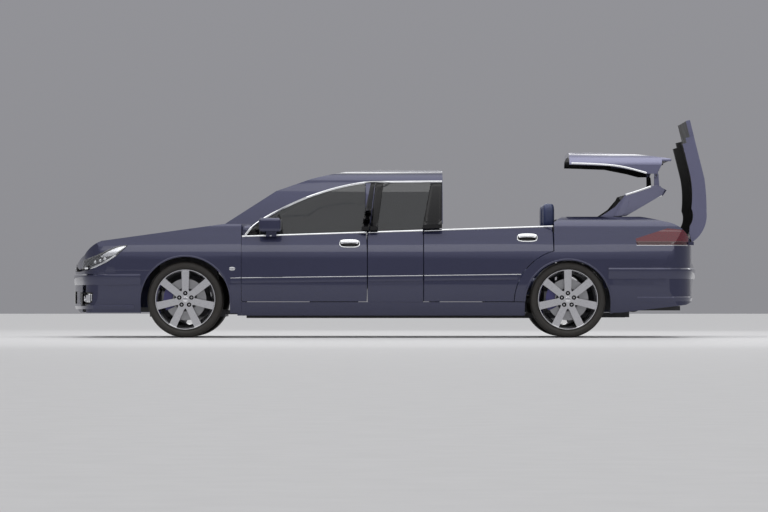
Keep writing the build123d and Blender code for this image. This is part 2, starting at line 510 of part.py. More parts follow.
LID_X0 = rear(35)
NOTCH_LENGTH, NOTCH_Y = 146.0, 552.0
LID_SIDE = LID_HALF - 28
lid_zone = side(outline((LID_X0, 900), (LID_X0, 1200), (rear(1188), 1200), (rear(1188), LID_PIVOT[1]), (rear(988), LID_PIVOT[1]),
                        (rear(888), 850)), -LID_HALF, LID_HALF)
lid = (outer - body_form(LID_T)) & lid_zone
flange = ((outer - body_form(79)) + ((outer - body_form(120)) & block(LID_X0 + 190, rear(1018), -1000, 1000, 700, 1200))) & lid_zone
flange = flange & (block(rear(-312), rear(1188), -LID_HALF, -LID_SIDE, 700, 1200) + block(rear(-312), rear(1188), LID_SIDE, LID_HALF, 700, 1200))
lid = lid + flange
# Its front corners are notched, where the roof's pillars come down
for hand in (-1, 1):
    lid = lid - on_side(block(LID_X0 - 10, LID_X0 + NOTCH_LENGTH, -LID_HALF - 10, -NOTCH_Y, 700, 1200), hand)
for hand in (-1, 1):
    boss = on_side(across(*LID_PIVOT, 12, -LID_HALF, -LID_SIDE), hand)
    lid = lid + boss - on_side(across(*LID_PIVOT, 6.05, -LID_HALF - 5, -LID_SIDE + 5), hand)
keep("boot_lid", turned(largest(lid), LID_PIVOT, LID_DEG))
tail_skin = shell & block(rear(888), rear(1188), -QUARTER_INNER, QUARTER_INNER, 640 + SEAT, LID_PIVOT[1] - 18)
keep("rear_panel", largest(tail_skin))

hinged = []
for quarter_side in nodes["rear_quarters"]:
    hand = 1 if quarter_side.center().Y > 0 else -1
    lug = on_side(block(rear(1050), rear(1098), -QUARTER_INNER - 20, -QUARTER_INNER, LID_PIVOT[1] - 14, LID_PIVOT[1] + 14)
                  + across(*LID_PIVOT, 6, -QUARTER_INNER - 10, -LID_SIDE - 8), hand)
    hole = on_side(across(*PIVOT, 12.05, -QUARTER_INNER - 26, -QUARTER_INNER + 5), hand)
    hinged.append(largest(quarter_side + lug - hole))
keep("rear_quarters", *hinged)

everything = [solid for solids in nodes.values() for solid in solids]
low = min(solid.bounding_box().min.X for solid in everything)
high = max(solid.bounding_box().max.X for solid in everything)
CENTRE_X = (low + high) / 2
for name, solids in nodes.items():
    placed = [Pos(-CENTRE_X, 0, 0) * solid for solid in solids]
    export_step(Compound(label=name, children=placed) if len(placed) > 1 else placed[0], f"parts/{name}.step")
print("centre at", round(CENTRE_X, 5), "pieces", len(nodes))
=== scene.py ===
# %% [markdown]
# # A landaulet in midnight blue
# The object is a long-wheelbase saloon with a closed front cabin and an open rear compartment. Its hard rear
# roof is caught halfway through folding, over an upright boot lid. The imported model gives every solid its
# size, place and body. This lesson dresses it: paint, glass, chrome, wheels, lamps, seats and small parts.

# %% Load the frame
import math

import bmesh
import bpy
from mathutils import Matrix, Vector
from mathutils.bvhtree import BVHTree


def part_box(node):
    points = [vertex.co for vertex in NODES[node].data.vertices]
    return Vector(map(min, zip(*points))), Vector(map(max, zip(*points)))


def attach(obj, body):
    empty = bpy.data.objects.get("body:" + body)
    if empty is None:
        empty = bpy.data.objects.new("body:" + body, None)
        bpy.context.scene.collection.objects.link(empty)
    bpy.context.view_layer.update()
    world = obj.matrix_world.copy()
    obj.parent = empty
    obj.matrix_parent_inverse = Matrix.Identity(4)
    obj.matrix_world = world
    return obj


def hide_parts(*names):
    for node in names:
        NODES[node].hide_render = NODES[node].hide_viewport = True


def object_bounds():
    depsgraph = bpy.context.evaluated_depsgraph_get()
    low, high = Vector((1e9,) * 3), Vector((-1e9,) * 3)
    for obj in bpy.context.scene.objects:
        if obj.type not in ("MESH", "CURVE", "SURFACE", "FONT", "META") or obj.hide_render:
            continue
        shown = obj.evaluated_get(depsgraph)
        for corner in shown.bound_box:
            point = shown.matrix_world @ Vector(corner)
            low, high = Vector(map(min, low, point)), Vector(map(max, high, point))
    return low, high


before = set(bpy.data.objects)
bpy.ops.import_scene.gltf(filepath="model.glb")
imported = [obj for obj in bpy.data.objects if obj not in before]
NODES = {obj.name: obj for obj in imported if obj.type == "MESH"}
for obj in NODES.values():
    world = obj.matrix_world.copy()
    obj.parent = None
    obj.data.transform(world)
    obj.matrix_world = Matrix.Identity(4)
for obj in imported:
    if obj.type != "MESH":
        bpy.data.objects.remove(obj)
CAD_LOW, CAD_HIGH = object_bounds()
low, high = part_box("tyre_front_left")
FRONT_X, WHEEL_Y, WHEEL_Z = [(low[i] + high[i]) / 2 for i in range(3)]
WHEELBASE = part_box("tyre_rear_left")[0].x - low.x
print("front axle at", round(FRONT_X, 3), "wheelbase", round(WHEELBASE, 3))

# %% [markdown]
# Every place below is measured from the front axle and the ground, in metres, as a body shop would measure
# it. One helper turns that into the frame's own x.

# %% Places and sides
SIDES = (-1, 1)
SIDE_NAME = {-1: "left", 1: "right"}
BELT_X, BELT_Z, BELT_SLOPE = 0.518, 0.884, 0.0326


def at(x, y, z):
    """A point measured from the front axle, the middle and the ground."""
    return Vector((FRONT_X + x, y, z))


def belt(x):
    """Height of the window sill line at x."""
    return BELT_Z + BELT_SLOPE * (x - BELT_X)


print("sill line at the front door", round(belt(1.0), 3))

# %% [markdown]
# Paint, leather and metal get their small scale life from shader groups. Each one takes plain values and
# gives back a colour, a roughness or a height, so that another finish can use it with other numbers.

# %% Shader group helpers


def new_group(name, inputs, outputs):
    """Empty shader group with its sockets, and its two end nodes."""
    tree = bpy.data.node_groups.new(name, "ShaderNodeTree")
    for label, kind, value in inputs:
        socket = tree.interface.new_socket(label, in_out="INPUT", socket_type=kind)
        if value is not None:
            socket.default_value = value
    for label, kind in outputs:
        tree.interface.new_socket(label, in_out="OUTPUT", socket_type=kind)
    return tree, tree.nodes.new("NodeGroupInput"), tree.nodes.new("NodeGroupOutput")


def node(tree, kind, **values):
    """One shader node. A key starting with in_ sets the input of that name or number."""
    made = tree.nodes.new(kind)
    for key, value in values.items():
        if key.startswith("in_"):
            made.inputs[int(key[3:]) if key[3:].isdigit() else key[3:]].default_value = value
        else:
            setattr(made, key, value)
    return made


def link(tree, start, end):
    """Joins an output to an input."""
    tree.links.new(start, end)


print("helpers ready")

# %% [markdown]
# Metallic paint is a coloured lacquer over tiny flakes, and its surface is never quite flat. The flakes are
# cells of a Voronoi texture that shift the colour a little, and the ripple is a low noise.

# %% Group: metallic flakes and ripple
FLOAT, COLOR, VECTOR = "NodeSocketFloat", "NodeSocketColor", "NodeSocketVector"
FLAKES, g_in, g_out = new_group(
    "Metallic flakes",
    [("Base", COLOR, (0.02, 0.02, 0.05, 1)), ("Flake", COLOR, (0.1, 0.1, 0.2, 1)), ("Size", FLOAT, 900.0),
     ("Amount", FLOAT, 0.3)],
    [("Color", COLOR), ("Ripple", FLOAT)])
where = node(FLAKES, "ShaderNodeTexCoord")
cells = node(FLAKES, "ShaderNodeTexVoronoi")
link(FLAKES, where.outputs["Object"], cells.inputs["Vector"])
link(FLAKES, g_in.outputs["Size"], cells.inputs["Scale"])
grey = node(FLAKES, "ShaderNodeSeparateColor")
link(FLAKES, cells.outputs["Color"], grey.inputs[0])
strength = node(FLAKES, "ShaderNodeMath", operation="MULTIPLY")
link(FLAKES, grey.outputs[0], strength.inputs[0])
link(FLAKES, g_in.outputs["Amount"], strength.inputs[1])
blend_colour = node(FLAKES, "ShaderNodeMix", data_type="RGBA")
link(FLAKES, strength.outputs[0], blend_colour.inputs["Factor"])
link(FLAKES, g_in.outputs["Base"], blend_colour.inputs["A"])
link(FLAKES, g_in.outputs["Flake"], blend_colour.inputs["B"])
link(FLAKES, blend_colour.outputs["Result"], g_out.inputs["Color"])
ripple = node(FLAKES, "ShaderNodeTexNoise", in_Scale=34.0, in_Detail=1.0)
link(FLAKES, where.outputs["Object"], ripple.inputs["Vector"])
link(FLAKES, ripple.outputs[0], g_out.inputs["Ripple"])
print("flakes group has", len(FLAKES.nodes), "nodes")

# %% [markdown]
# Grain stands for moulded plastic, leather and rubber alike: small cells with soft creases between them. The
# same group gives a slow variation of the colour, which hides the evenness of a computed surface.

# %% Group: grain
GRAIN, g_in, g_out = new_group(
    "Grain",
    [("Color", COLOR, (0.1, 0.1, 0.1, 1)), ("Size", FLOAT, 300.0), ("Variation", FLOAT, 0.15),
     ("Roughness", FLOAT, 0.5)],
    [("Color", COLOR), ("Roughness", FLOAT), ("Height", FLOAT)])
where = node(GRAIN, "ShaderNodeTexCoord")
cells = node(GRAIN, "ShaderNodeTexVoronoi", feature="DISTANCE_TO_EDGE")
link(GRAIN, where.outputs["Object"], cells.inputs["Vector"])
link(GRAIN, g_in.outputs["Size"], cells.inputs["Scale"])
soft = node(GRAIN, "ShaderNodeMapRange", interpolation_type="SMOOTHSTEP", in_1=0.0, in_2=0.25)
link(GRAIN, cells.outputs["Distance"], soft.inputs[0])
link(GRAIN, soft.outputs[0], g_out.inputs["Height"])
slow = node(GRAIN, "ShaderNodeTexNoise", in_Scale=7.0, in_Detail=4.0)
link(GRAIN, where.outputs["Object"], slow.inputs["Vector"])
shade = node(GRAIN, "ShaderNodeMapRange", in_1=0.3, in_2=0.7, in_3=-1.0, in_4=1.0)
link(GRAIN, slow.outputs[0], shade.inputs[0])
scaled = node(GRAIN, "ShaderNodeMath", operation="MULTIPLY_ADD", in_2=1.0)
link(GRAIN, shade.outputs[0], scaled.inputs[0])
link(GRAIN, g_in.outputs["Variation"], scaled.inputs[1])
tint = node(GRAIN, "ShaderNodeMix", data_type="RGBA", blend_type="MULTIPLY")
tint.inputs["Factor"].default_value = 1.0
link(GRAIN, g_in.outputs["Color"], tint.inputs["A"])
link(GRAIN, scaled.outputs[0], tint.inputs["B"])
link(GRAIN, tint.outputs["Result"], g_out.inputs["Color"])
rough = node(GRAIN, "ShaderNodeMath", operation="MULTIPLY")
link(GRAIN, g_in.outputs["Roughness"], rough.inputs[0])
link(GRAIN, scaled.outputs[0], rough.inputs[1])
link(GRAIN, rough.outputs[0], g_out.inputs["Roughness"])
print("grain group has", len(GRAIN.nodes), "nodes")

# %% [markdown]
# Brushed metal has long fine scratches. A noise that is squeezed along one axis draws them, and it feeds both
# the roughness and a shallow height.

# %% Group: brushed metal
BRUSHED, g_in, g_out = new_group(
    "Brushed metal",
    [("Color", COLOR, (0.6, 0.6, 0.62, 1)), ("Stretch", VECTOR, (60.0, 60.0, 900.0)),
     ("Roughness", FLOAT, 0.3)],
    [("Color", COLOR), ("Roughness", FLOAT), ("Height", FLOAT)])
where = node(BRUSHED, "ShaderNodeTexCoord")
squeeze = node(BRUSHED, "ShaderNodeVectorMath", operation="MULTIPLY")
link(BRUSHED, where.outputs["Object"], squeeze.inputs[0])
link(BRUSHED, g_in.outputs["Stretch"], squeeze.inputs[1])
lines = node(BRUSHED, "ShaderNodeTexNoise", in_Scale=1.0, in_Detail=6.0, in_Roughness=0.7)
link(BRUSHED, squeeze.outputs[0], lines.inputs["Vector"])
link(BRUSHED, lines.outputs[0], g_out.inputs["Height"])
spread = node(BRUSHED, "ShaderNodeMapRange", in_1=0.2, in_2=0.8, in_3=0.75, in_4=1.25)
link(BRUSHED, lines.outputs[0], spread.inputs[0])
tint = node(BRUSHED, "ShaderNodeMix", data_type="RGBA", blend_type="MULTIPLY")
tint.inputs["Factor"].default_value = 0.35
link(BRUSHED, g_in.outputs["Color"], tint.inputs["A"])
link(BRUSHED, spread.outputs[0], tint.inputs["B"])
link(BRUSHED, tint.outputs["Result"], g_out.inputs["Color"])
rough = node(BRUSHED, "ShaderNodeMath", operation="MULTIPLY")
link(BRUSHED, g_in.outputs["Roughness"], rough.inputs[0])
link(BRUSHED, spread.outputs[0], rough.inputs[1])
link(BRUSHED, rough.outputs[0], g_out.inputs["Roughness"])
print("brushed group has", len(BRUSHED.nodes), "nodes")

# %% [markdown]
# A finish is one Principled shader with one of these groups in front of it. The constant values, such as the
# clear coat, stay on the shader itself.

# %% Finish helpers


def shader(name, **values):
    """New material with its Principled shader's own values set."""
    made = bpy.data.materials.new(name)
    made.use_nodes = True
    principled = made.node_tree.nodes["Principled BSDF"]
    for key, value in values.items():
        principled.inputs[key.replace("_", " ")].default_value = value
    return made, made.node_tree, principled


def add_bump(tree, height, principled, strength, distance):
    """Feeds a height into the shader's normal."""
    bump = node(tree, "ShaderNodeBump", in_Strength=strength, in_Distance=distance)
    link(tree, height, bump.inputs["Height"])
    link(tree, bump.outputs["Normal"], principled.inputs["Normal"])


def grained(name, colour, roughness, size=300.0, variation=0.15, bump=0.3, depth=0.0004, **values):
    """Finish with the grain group."""
    made, tree, principled = shader(name, **values)
    grain = node(tree, "ShaderNodeGroup", node_tree=GRAIN, in_Color=(*colour, 1), in_Size=size,
                 in_Variation=variation, in_Roughness=roughness)
    link(tree, grain.outputs["Color"], principled.inputs["Base Color"])
    link(tree, grain.outputs["Roughness"], principled.inputs["Roughness"])
    add_bump(tree, grain.outputs["Height"], principled, bump, depth)
    return made


def brushed(name, colour, roughness, stretch, bump=0.15, **values):
    """Metal finish with the brushed group."""
    made, tree, principled = shader(name, Metallic=1.0, **values)
    lines_group = node(tree, "ShaderNodeGroup", node_tree=BRUSHED, in_Color=(*colour, 1), in_Stretch=stretch,
                       in_Roughness=roughness)
    link(tree, lines_group.outputs["Color"], principled.inputs["Base Color"])
    link(tree, lines_group.outputs["Roughness"], principled.inputs["Roughness"])
    add_bump(tree, lines_group.outputs["Height"], principled, bump, 0.0002)
    return made


print("finish helpers ready")

# %% [markdown]
# The body colour is a deep blue with a violet cast, under a thick clear coat. The flakes are lighter, so the
# shoulders turn lavender where the light falls on them. A second, lighter copy of the same paint is a painted
# highlight: it stands in for the sky's reflection on the roof panel, the rear shell and the boot lid.

# %% Body paint


def metallic(name, base, flake):
    """Metallic paint under a clear coat."""
    made, tree, principled = shader(name, Metallic=0.62, Roughness=0.33, Coat_Weight=1.0, Coat_Roughness=0.03)
    flakes = node(tree, "ShaderNodeGroup", node_tree=FLAKES, in_Base=(*base, 1), in_Flake=(*flake, 1),
                  in_Size=1400.0, in_Amount=0.3)
    link(tree, flakes.outputs["Color"], principled.inputs["Base Color"])
    add_bump(tree, flakes.outputs["Ripple"], principled, 0.02, 0.0006)
    return made


PAINT = metallic("body_paint", (0.019, 0.021, 0.055), (0.1, 0.105, 0.22))
# Lighter copy of the body paint: painted highlight for the roof panel, rear shell and boot lid, in place of
# the sky's reflection
PAINT_PAINTED_HIGHLIGHT = metallic("roof_paint_painted_highlight", (0.14, 0.143, 0.235), (0.25, 0.25, 0.38))
print("paint made")

# %% [markdown]
# The other finishes: bright chrome round the windows, brushed and lacquered alloy, leather in navy, carpet,
# rubber, gloss black pillar covers, lamp reflectors, and clear, red and tinted glass.

# %% Other finishes
CHROME = brushed("chrome", (0.82, 0.83, 0.85), 0.07, (9, 9, 9), bump=0.02)
ALLOY = brushed("wheel_alloy", (0.62, 0.62, 0.64), 0.3, (40, 40, 700), bump=0.12, Coat_Weight=0.4)
POLISHED = brushed("polished_alloy", (0.78, 0.78, 0.8), 0.13, (30, 30, 30), bump=0.03, Coat_Weight=0.5)
DISC_STEEL = brushed("disc_steel", (0.36, 0.36, 0.37), 0.34, (300, 20, 300), bump=0.2)
STEEL = brushed("coated_steel", (0.09, 0.09, 0.095), 0.45, (60, 60, 60), bump=0.2)
CAST = grained("cast_metal", (0.14, 0.14, 0.145), 0.55, size=420, variation=0.25, bump=0.5, Metallic=0.8)
CALIPER = grained("caliper_paint", (0.05, 0.045, 0.17), 0.35, size=200, variation=0.1, bump=0.1,
                  Coat_Weight=0.5)
RUBBER = grained("tyre_rubber", (0.022, 0.019, 0.016), 0.62, size=500, variation=0.3, bump=0.25, depth=0.0003)
SEAL = grained("seal_rubber", (0.012, 0.012, 0.012), 0.55, size=600, variation=0.2, bump=0.15)
BLACK = grained("gloss_black", (0.005, 0.005, 0.006), 0.24, size=900, variation=0.1, bump=0.02,
                Specular_IOR_Level=0.3)
PLASTIC = grained("soft_black", (0.016, 0.017, 0.021), 0.5, size=650, variation=0.15, bump=0.35)
CARPET = grained("carpet", (0.014, 0.016, 0.03), 0.9, size=1500, variation=0.35, bump=0.9, depth=0.002,
                 Sheen_Weight=0.5)
HEADLINING = grained("headlining", (0.05, 0.053, 0.068), 0.9, size=1800, variation=0.12, bump=0.5,
                     Sheen_Weight=0.3)
LEATHER = grained("navy_leather", (0.03, 0.042, 0.11), 0.42, size=420, variation=0.22, bump=0.4, depth=0.0005,
                  Coat_Weight=0.15, Coat_Roughness=0.3)
REFLECTOR = brushed("lamp_reflector", (0.86, 0.87, 0.9), 0.12, (20, 20, 20), bump=0.04)
PLATE = grained("blank_plate", (0.62, 0.62, 0.6), 0.4, size=300, variation=0.05, bump=0.05, Coat_Weight=0.3)


def glazing(name, colour, alpha, roughness=0.02):
    """Thin tinted glass: a dark see-through coat with a clear reflection."""
    made, tree, principled = shader(name, Roughness=roughness, Coat_Weight=1.0, Coat_Roughness=0.01,
                                    Alpha=alpha)
    haze = node(tree, "ShaderNodeTexNoise", in_Scale=3.0, in_Detail=2.0)
    ramp = node(tree, "ShaderNodeMix", data_type="RGBA")
    ramp.inputs["A"].default_value = (*colour, 1)
    ramp.inputs["B"].default_value = (*[c * 1.35 for c in colour], 1)
    link(tree, haze.outputs[0], ramp.inputs["Factor"])
    link(tree, ramp.outputs["Result"], principled.inputs["Base Color"])
    return made


TINTED = glazing("tinted_glass", (0.01, 0.012, 0.015), 0.74)
CLEAR = glazing("lamp_glass", (0.3, 0.31, 0.33), 0.16)
RED = glazing("red_lens", (0.1, 0.003, 0.012), 0.96, roughness=0.12)
DEEP_RED = glazing("red_lens_lower", (0.035, 0.001, 0.004), 0.97, roughness=0.15)
DARK_GLASS = glazing("partition_glass", (0.006, 0.007, 0.01), 0.86)
print("finishes", len(bpy.data.materials))

# %% [markdown]
# Meshes are built in code. The helpers make a mesh from points and faces, a turned piece from a profile, and
# a strip that follows a path. Edges get a small bevel, because a real edge always catches some light.

# %% Mesh helpers
MADE = []


def finish_piece(piece, finish, body, slot, bevel=0.0, angle=35.0, smooth=True, thick=0.0, levels=0, loops=2):
    """Gives a piece its finish, body and modifiers. Its slot is not used."""
    for material in finish if isinstance(finish, (list, tuple)) else [finish]:
        piece.data.materials.append(material)
    if smooth:
        piece.data.polygons.foreach_set("use_smooth", [True] * len(piece.data.polygons))
        piece.data.set_sharp_from_angle(angle=math.radians(angle))
    if levels:
        sub = piece.modifiers.new("smooth", "SUBSURF")
        sub.levels = sub.render_levels = levels
    if thick:
        solid = piece.modifiers.new("thickness", "SOLIDIFY")
        solid.thickness = thick
        solid.offset = 0.0
    if bevel:
        edge = piece.modifiers.new("bevel", "BEVEL")
        edge.width = bevel
        edge.segments = loops
        edge.limit_method = "ANGLE"
        edge.angle_limit = math.radians(angle)
        edge.harden_normals = False
        weighted = piece.modifiers.new("normals", "WEIGHTED_NORMAL")
        weighted.keep_sharp = True
    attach(piece, body)
    MADE.append(piece)
    return piece


def mesh_piece(name, points, faces, finish, body, slot, **looks):
    """New piece from points and faces."""
    mesh = bpy.data.meshes.new(name)
    mesh.from_pydata([tuple(p) for p in points], [], faces)
    shape = bmesh.new()
    shape.from_mesh(mesh)
    bmesh.ops.remove_doubles(shape, verts=shape.verts, dist=1e-6)
    bmesh.ops.recalc_face_normals(shape, faces=shape.faces)
    shape.to_mesh(mesh)
    shape.free()
    piece = bpy.data.objects.new(name, mesh)
    bpy.context.scene.collection.objects.link(piece)
    return finish_piece(piece, finish, body, slot, **looks)


def rings_mesh(rings, closed_ring=True, closed_path=False, caps=True):
    """Points and faces of a skin over rings that have the same number of points."""
    count = len(rings[0])
    points = [p for ring in rings for p in ring]
    faces = []
    steps = len(rings) if closed_path else len(rings) - 1
    for i in range(steps):
        for j in range(count if closed_ring else count - 1):
            a, b = i * count + j, i * count + (j + 1) % count
            c, d = ((i + 1) % len(rings)) * count + (j + 1) % count, ((i + 1) % len(rings)) * count + j
            faces.append((a, b, c, d))
    if caps and closed_ring and not closed_path:
        faces.append(tuple(range(count))[::-1])
        faces.append(tuple((len(rings) - 1) * count + j for j in range(count)))
    return points, faces


def turn_angles(count):
    """Even angles round a full turn."""
    return [2 * math.pi * k / count for k in range(count)]


def turned(name, profile, centre, finish, body, slot, hand=-1, segments=96, closed=False, **looks):
    """Piece turned about a line along Y. The profile holds (radius, distance outwards) pairs."""
    rings = []
    for radius, out in profile:
        rings.append([Vector((centre[0] + radius * math.cos(a), centre[1] + hand * out,
                              centre[2] + radius * math.sin(a)))
                      for a in turn_angles(segments)])
    points, faces = rings_mesh(rings, closed_path=closed, caps=not closed)
    return mesh_piece(name, points, faces, finish, body, slot, **looks)


def strip(name, path, outs, section, finish, body, slot, closed=False, **looks):
    """Strip along a path. outs are directions away from the body, and a section holds (across, out) pairs."""
    rings = []
    for i, point in enumerate(path):
        before = path[i - 1] if i or closed else path[i]
        after = path[(i + 1) % len(path)] if i + 1 < len(path) or closed else path[i]
        along = (after - before).normalized()
        out = (outs[i] - along * outs[i].dot(along)).normalized()
        across = along.cross(out)
        rings.append([point + across * a + out * b for a, b in section])
    points, faces = rings_mesh(rings, closed_path=closed)
    return mesh_piece(name, points, faces, finish, body, slot, **looks)


def prism(name, outline, y0, y1, finish, body, slot, **looks):
    """Solid from an outline of (x, z) points, between two values of y."""
    rings = [[Vector((x, y, z)) for x, z in outline] for y in (y0, y1)]
    points, faces = rings_mesh(rings)
    return mesh_piece(name, points, faces, finish, body, slot, **looks)


def rounded_box(name, low, high, finish, body, slot, bevel=0.01, place=None, **looks):
    """Box with rounded edges, turned by a matrix if one is given."""
    corners = [Vector((x, y, z)) for x in (low[0], high[0]) for y in (low[1], high[1])
               for z in (low[2], high[2])]
    if place is not None:
        corners = [place @ c for c in corners]
    faces = [(0, 1, 3, 2), (4, 6, 7, 5), (0, 4, 5, 1), (2, 3, 7, 6), (0, 2, 6, 4), (1, 5, 7, 3)]
    return mesh_piece(name, corners, faces, finish, body, slot, bevel=bevel, loops=3, **looks)


print("mesh helpers ready")

# %% [markdown]
# Trim lies on the body, so its height above the road comes from the drawing and its depth from the panel it
# sits on. A ray cast from the side finds that depth.

# %% Casting onto the panels


def tree_of(*names):
    """One search tree over several nodes."""
    points, faces = [], []
    for name in names:
        mesh = NODES[name].data
        start = len(points)
        points += [v.co.copy() for v in mesh.vertices]
        faces += [[start + i for i in p.vertices] for p in mesh.polygons]
    return BVHTree.FromPolygons(points, faces)


def on_side(tree, x, z, hand, default=0.9):
    """Point on the side of the car at x and z, with the surface's direction outwards."""
    start = Vector((FRONT_X + x, hand * 3.0, z))
    point, normal, _, _ = tree.ray_cast(start, Vector((0, -hand, 0)))
    if point is None:
        return Vector((FRONT_X + x, hand * default, z)), Vector((0, hand, 0))
    if normal.y * hand < 0:
        normal = -normal
    return point, normal


def spaced(points, step=0.03):
    """More points along a path, evenly spaced between its corners."""
    result = [points[0]]
    for a, b in zip(points, points[1:]):
        count = max(1, round(math.dist(a, b) / step))
        result += [tuple(p + (q - p) * k / count for p, q in zip(a, b)) for k in range(1, count + 1)]
    return result


def rounded_path(points, rounds=3):
    """A path with its corners eased by cutting them several times."""
    for _ in range(rounds):
        eased = [points[0]]
        for a, b in zip(points, points[1:]):
            eased.append(tuple(p * 0.75 + q * 0.25 for p, q in zip(a, b)))
            eased.append(tuple(p * 0.25 + q * 0.75 for p, q in zip(a, b)))
        points = eased + [points[-1]]
    return points


def side_strip(name, tree, points, hand, section, finish, body, slot, lift=0.0, **looks):
    """Strip on the side of the car that follows (x, z) points."""
    path, outs = [], []
    for x, z in points:
        point, normal = on_side(tree, x, z, hand)
        path.append(point + normal * lift)
        outs.append(normal)
    return strip(name, path, outs, section, finish, body, slot, **looks)


def half_round(width, height):
    """Section of a strip: flat foot and domed top."""
    return [(-width / 2, -0.002), (-width / 2, height * 0.5), (-width * 0.3, height * 0.9), (0, height),
            (width * 0.3, height * 0.9), (width / 2, height * 0.5), (width / 2, -0.002)]


print("casting ready")

# %% [markdown]
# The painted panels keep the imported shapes. Each is copied into a new mesh, its flat triangles are joined,
# its edges get a small round, and the faces that look inwards get the lining that such a panel has inside.

# %% Body panels
CABIN_Z = 0.95


def panel(name, body, lining=None, inwards=None, finish=PAINT):
    """Copy of a panel with rounded edges. inwards(centre, normal) tells the faces that get the lining."""
    source = NODES[name].data
    shape = bmesh.new()
    shape.from_mesh(source)
    bmesh.ops.remove_doubles(shape, verts=shape.verts, dist=2e-5)
    bmesh.ops.dissolve_limit(shape, angle_limit=math.radians(0.4), verts=shape.verts, edges=shape.edges)
    shape.normal_update()
    for face in shape.faces:
        face.material_index = 0
        if lining is not None and inwards(face.calc_center_median(), face.normal):
            face.material_index = 1
    mesh = bpy.data.meshes.new(name + "_skin")
    shape.to_mesh(mesh)
    shape.free()
    piece = bpy.data.objects.new(name + "_skin", mesh)
    bpy.context.scene.collection.objects.link(piece)
    finish_piece(piece, [finish] if lining is None else [finish, lining], body, "body_paint", bevel=0.0025,
                 angle=32)
    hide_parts(name)
    return piece


def faces_cabin(centre, normal):
    """True for a face that looks to the middle of the cabin."""
    towards = Vector((0, -centre.y, CABIN_Z - centre.z))
    return towards.length > 0.3 and normal.dot(towards.normalized()) > 0.45


def faces_middle(centre, normal):
    """True for a face that looks to the car's middle plane."""
    return normal.y * centre.y < -0.6 * abs(centre.y)


def faces_forward(centre, normal):
    """True for the inner side of the open boot lid, with the inner sides of its flanges."""
    return normal.x < -0.25 or normal.y * centre.y < -0.3


def faces_down(centre, normal):
    """True for the underside of the roof panel."""
    return normal.z < -0.3


def faces_shell_inside(centre, normal):
    """True for the inner side of the roof shell, which looks to the roof panel's front."""
    towards = at(3.45, 0, 1.75) - centre
    towards.y = -centre.y
    return normal.dot(towards.normalized()) > 0.35


# Node, body that it moves with, finish of its inner side, test for that side
PANELS = [("front_wings", "root", SEAL, faces_middle), ("bonnet", "bonnet", CARPET, faces_down),
          ("front_bumper", "root", None, None), ("rear_bumper", "root", None, None),
          ("door_front_left", "door_front_left", LEATHER, faces_middle),
          ("door_front_right", "door_front_right", LEATHER, faces_middle),
          ("door_rear_left", "door_rear_left", LEATHER, faces_middle),
          ("door_rear_right", "door_rear_right", LEATHER, faces_middle),
          ("mid_panels", "root", LEATHER, faces_middle), ("sills", "root", CARPET, faces_middle),
          ("rear_quarters", "root", CARPET, faces_middle), ("front_roof", "root", HEADLINING, faces_cabin),
          ("roof_panel", "roof_panel", SEAL, faces_down),
          ("rear_shell", "rear_shell", SEAL, faces_shell_inside),
          ("boot_lid", "boot_lid", SEAL, faces_forward), ("rear_panel", "root", None, None)]
# These three panels take the lighter copy of the paint, a painted highlight laid into their colour
PAINTED_HIGHLIGHT_BODIES = ("roof_panel", "rear_shell", "boot_lid")
for name, body, lining, inwards in PANELS:
    panel(name, body, lining, inwards, finish=PAINT_PAINTED_HIGHLIGHT if body in PAINTED_HIGHLIGHT_BODIES else PAINT)
print("panels", len(PANELS))

# %% [markdown]
# Nodes that already have their real shape only take a better finish.

# %% Finishes of the kept nodes
KEPT_FINISH = [("windscreen", TINTED), ("front_glass_left", TINTED), ("front_glass_right", TINTED),
               ("mid_windows", TINTED), ("rear_window", TINTED), ("floor_pan", CARPET), ("rear_deck", CARPET),
               ("dashboard", PLASTIC), ("engine_block", CAST), ("fuel_tank", PLASTIC), ("exhaust", STEEL),
               ("front_subframe", STEEL), ("rear_axle", STEEL), ("knuckle_left", CAST),
               ("knuckle_right", CAST), ("roof_links", STEEL), ("roof_quadrants", STEEL),
               ("fog_lamps", CLEAR), ("tail_lamps", RED), ("grille", BLACK), ("steering_wheel", PLASTIC)]
for name, finish in KEPT_FINISH:
    NODES[name].data.materials.clear()
    NODES[name].data.materials.append(finish)
print("kept nodes", len(KEPT_FINISH))

# %% [markdown]
# A wheel is a tyre on an alloy with seven flat spokes. The spokes and the hub are one star, cut from a plate,
# so its outline is worked out by a loop: a rounded tip for each spoke, and a valley between two spokes.

# %% Wheel spider
SPOKES = 7
HUB_R, TIP_R, LIP_R, RIM_R = 0.078, 0.2545, 0.2535, 0.266
SPOKE_IN, SPOKE_OUT = 0.029, 0.0335
FACE_OUT, SPOKE_T = 0.107, 0.026
BOLTS, BOLT_CIRCLE_R, RECESS_R = 5, 0.055, 0.0195


def star_outline():
    """Corners of the seven spokes and the curves between them, as (x, z)."""
    corners = []
    half_step = math.pi / SPOKES
    for i in range(SPOKES):
        middle = math.pi / 2 + i * 2 * half_step
        side = Vector((-math.sin(middle), math.cos(middle)))
        along = Vector((math.cos(middle), math.sin(middle)))
        for k in range(5):
            across = -SPOKE_OUT + 2 * SPOKE_OUT * k / 4
            corners.append(along * math.sqrt(TIP_R ** 2 - across ** 2) + side * across)
        root = HUB_R * 1.12
        corners.append(along * root + side * SPOKE_IN)
        valley = middle + half_step
        corners.append(Vector((math.cos(valley), math.sin(valley))) * (HUB_R * 0.985))
        next_middle = middle + 2 * half_step
        next_side = Vector((-math.sin(next_middle), math.cos(next_middle)))
        next_along = Vector((math.cos(next_middle), math.sin(next_middle)))
        corners.append(next_along * root - next_side * SPOKE_IN)
    return corners


def bolt_place(centre, i):
    """Where bolt i sits on its circle, on the wheel's middle plane."""
    a = math.pi / 2 + i * 2 * math.pi / BOLTS
    return (centre[0] + BOLT_CIRCLE_R * math.cos(a), centre[1], centre[2] + BOLT_CIRCLE_R * math.sin(a))


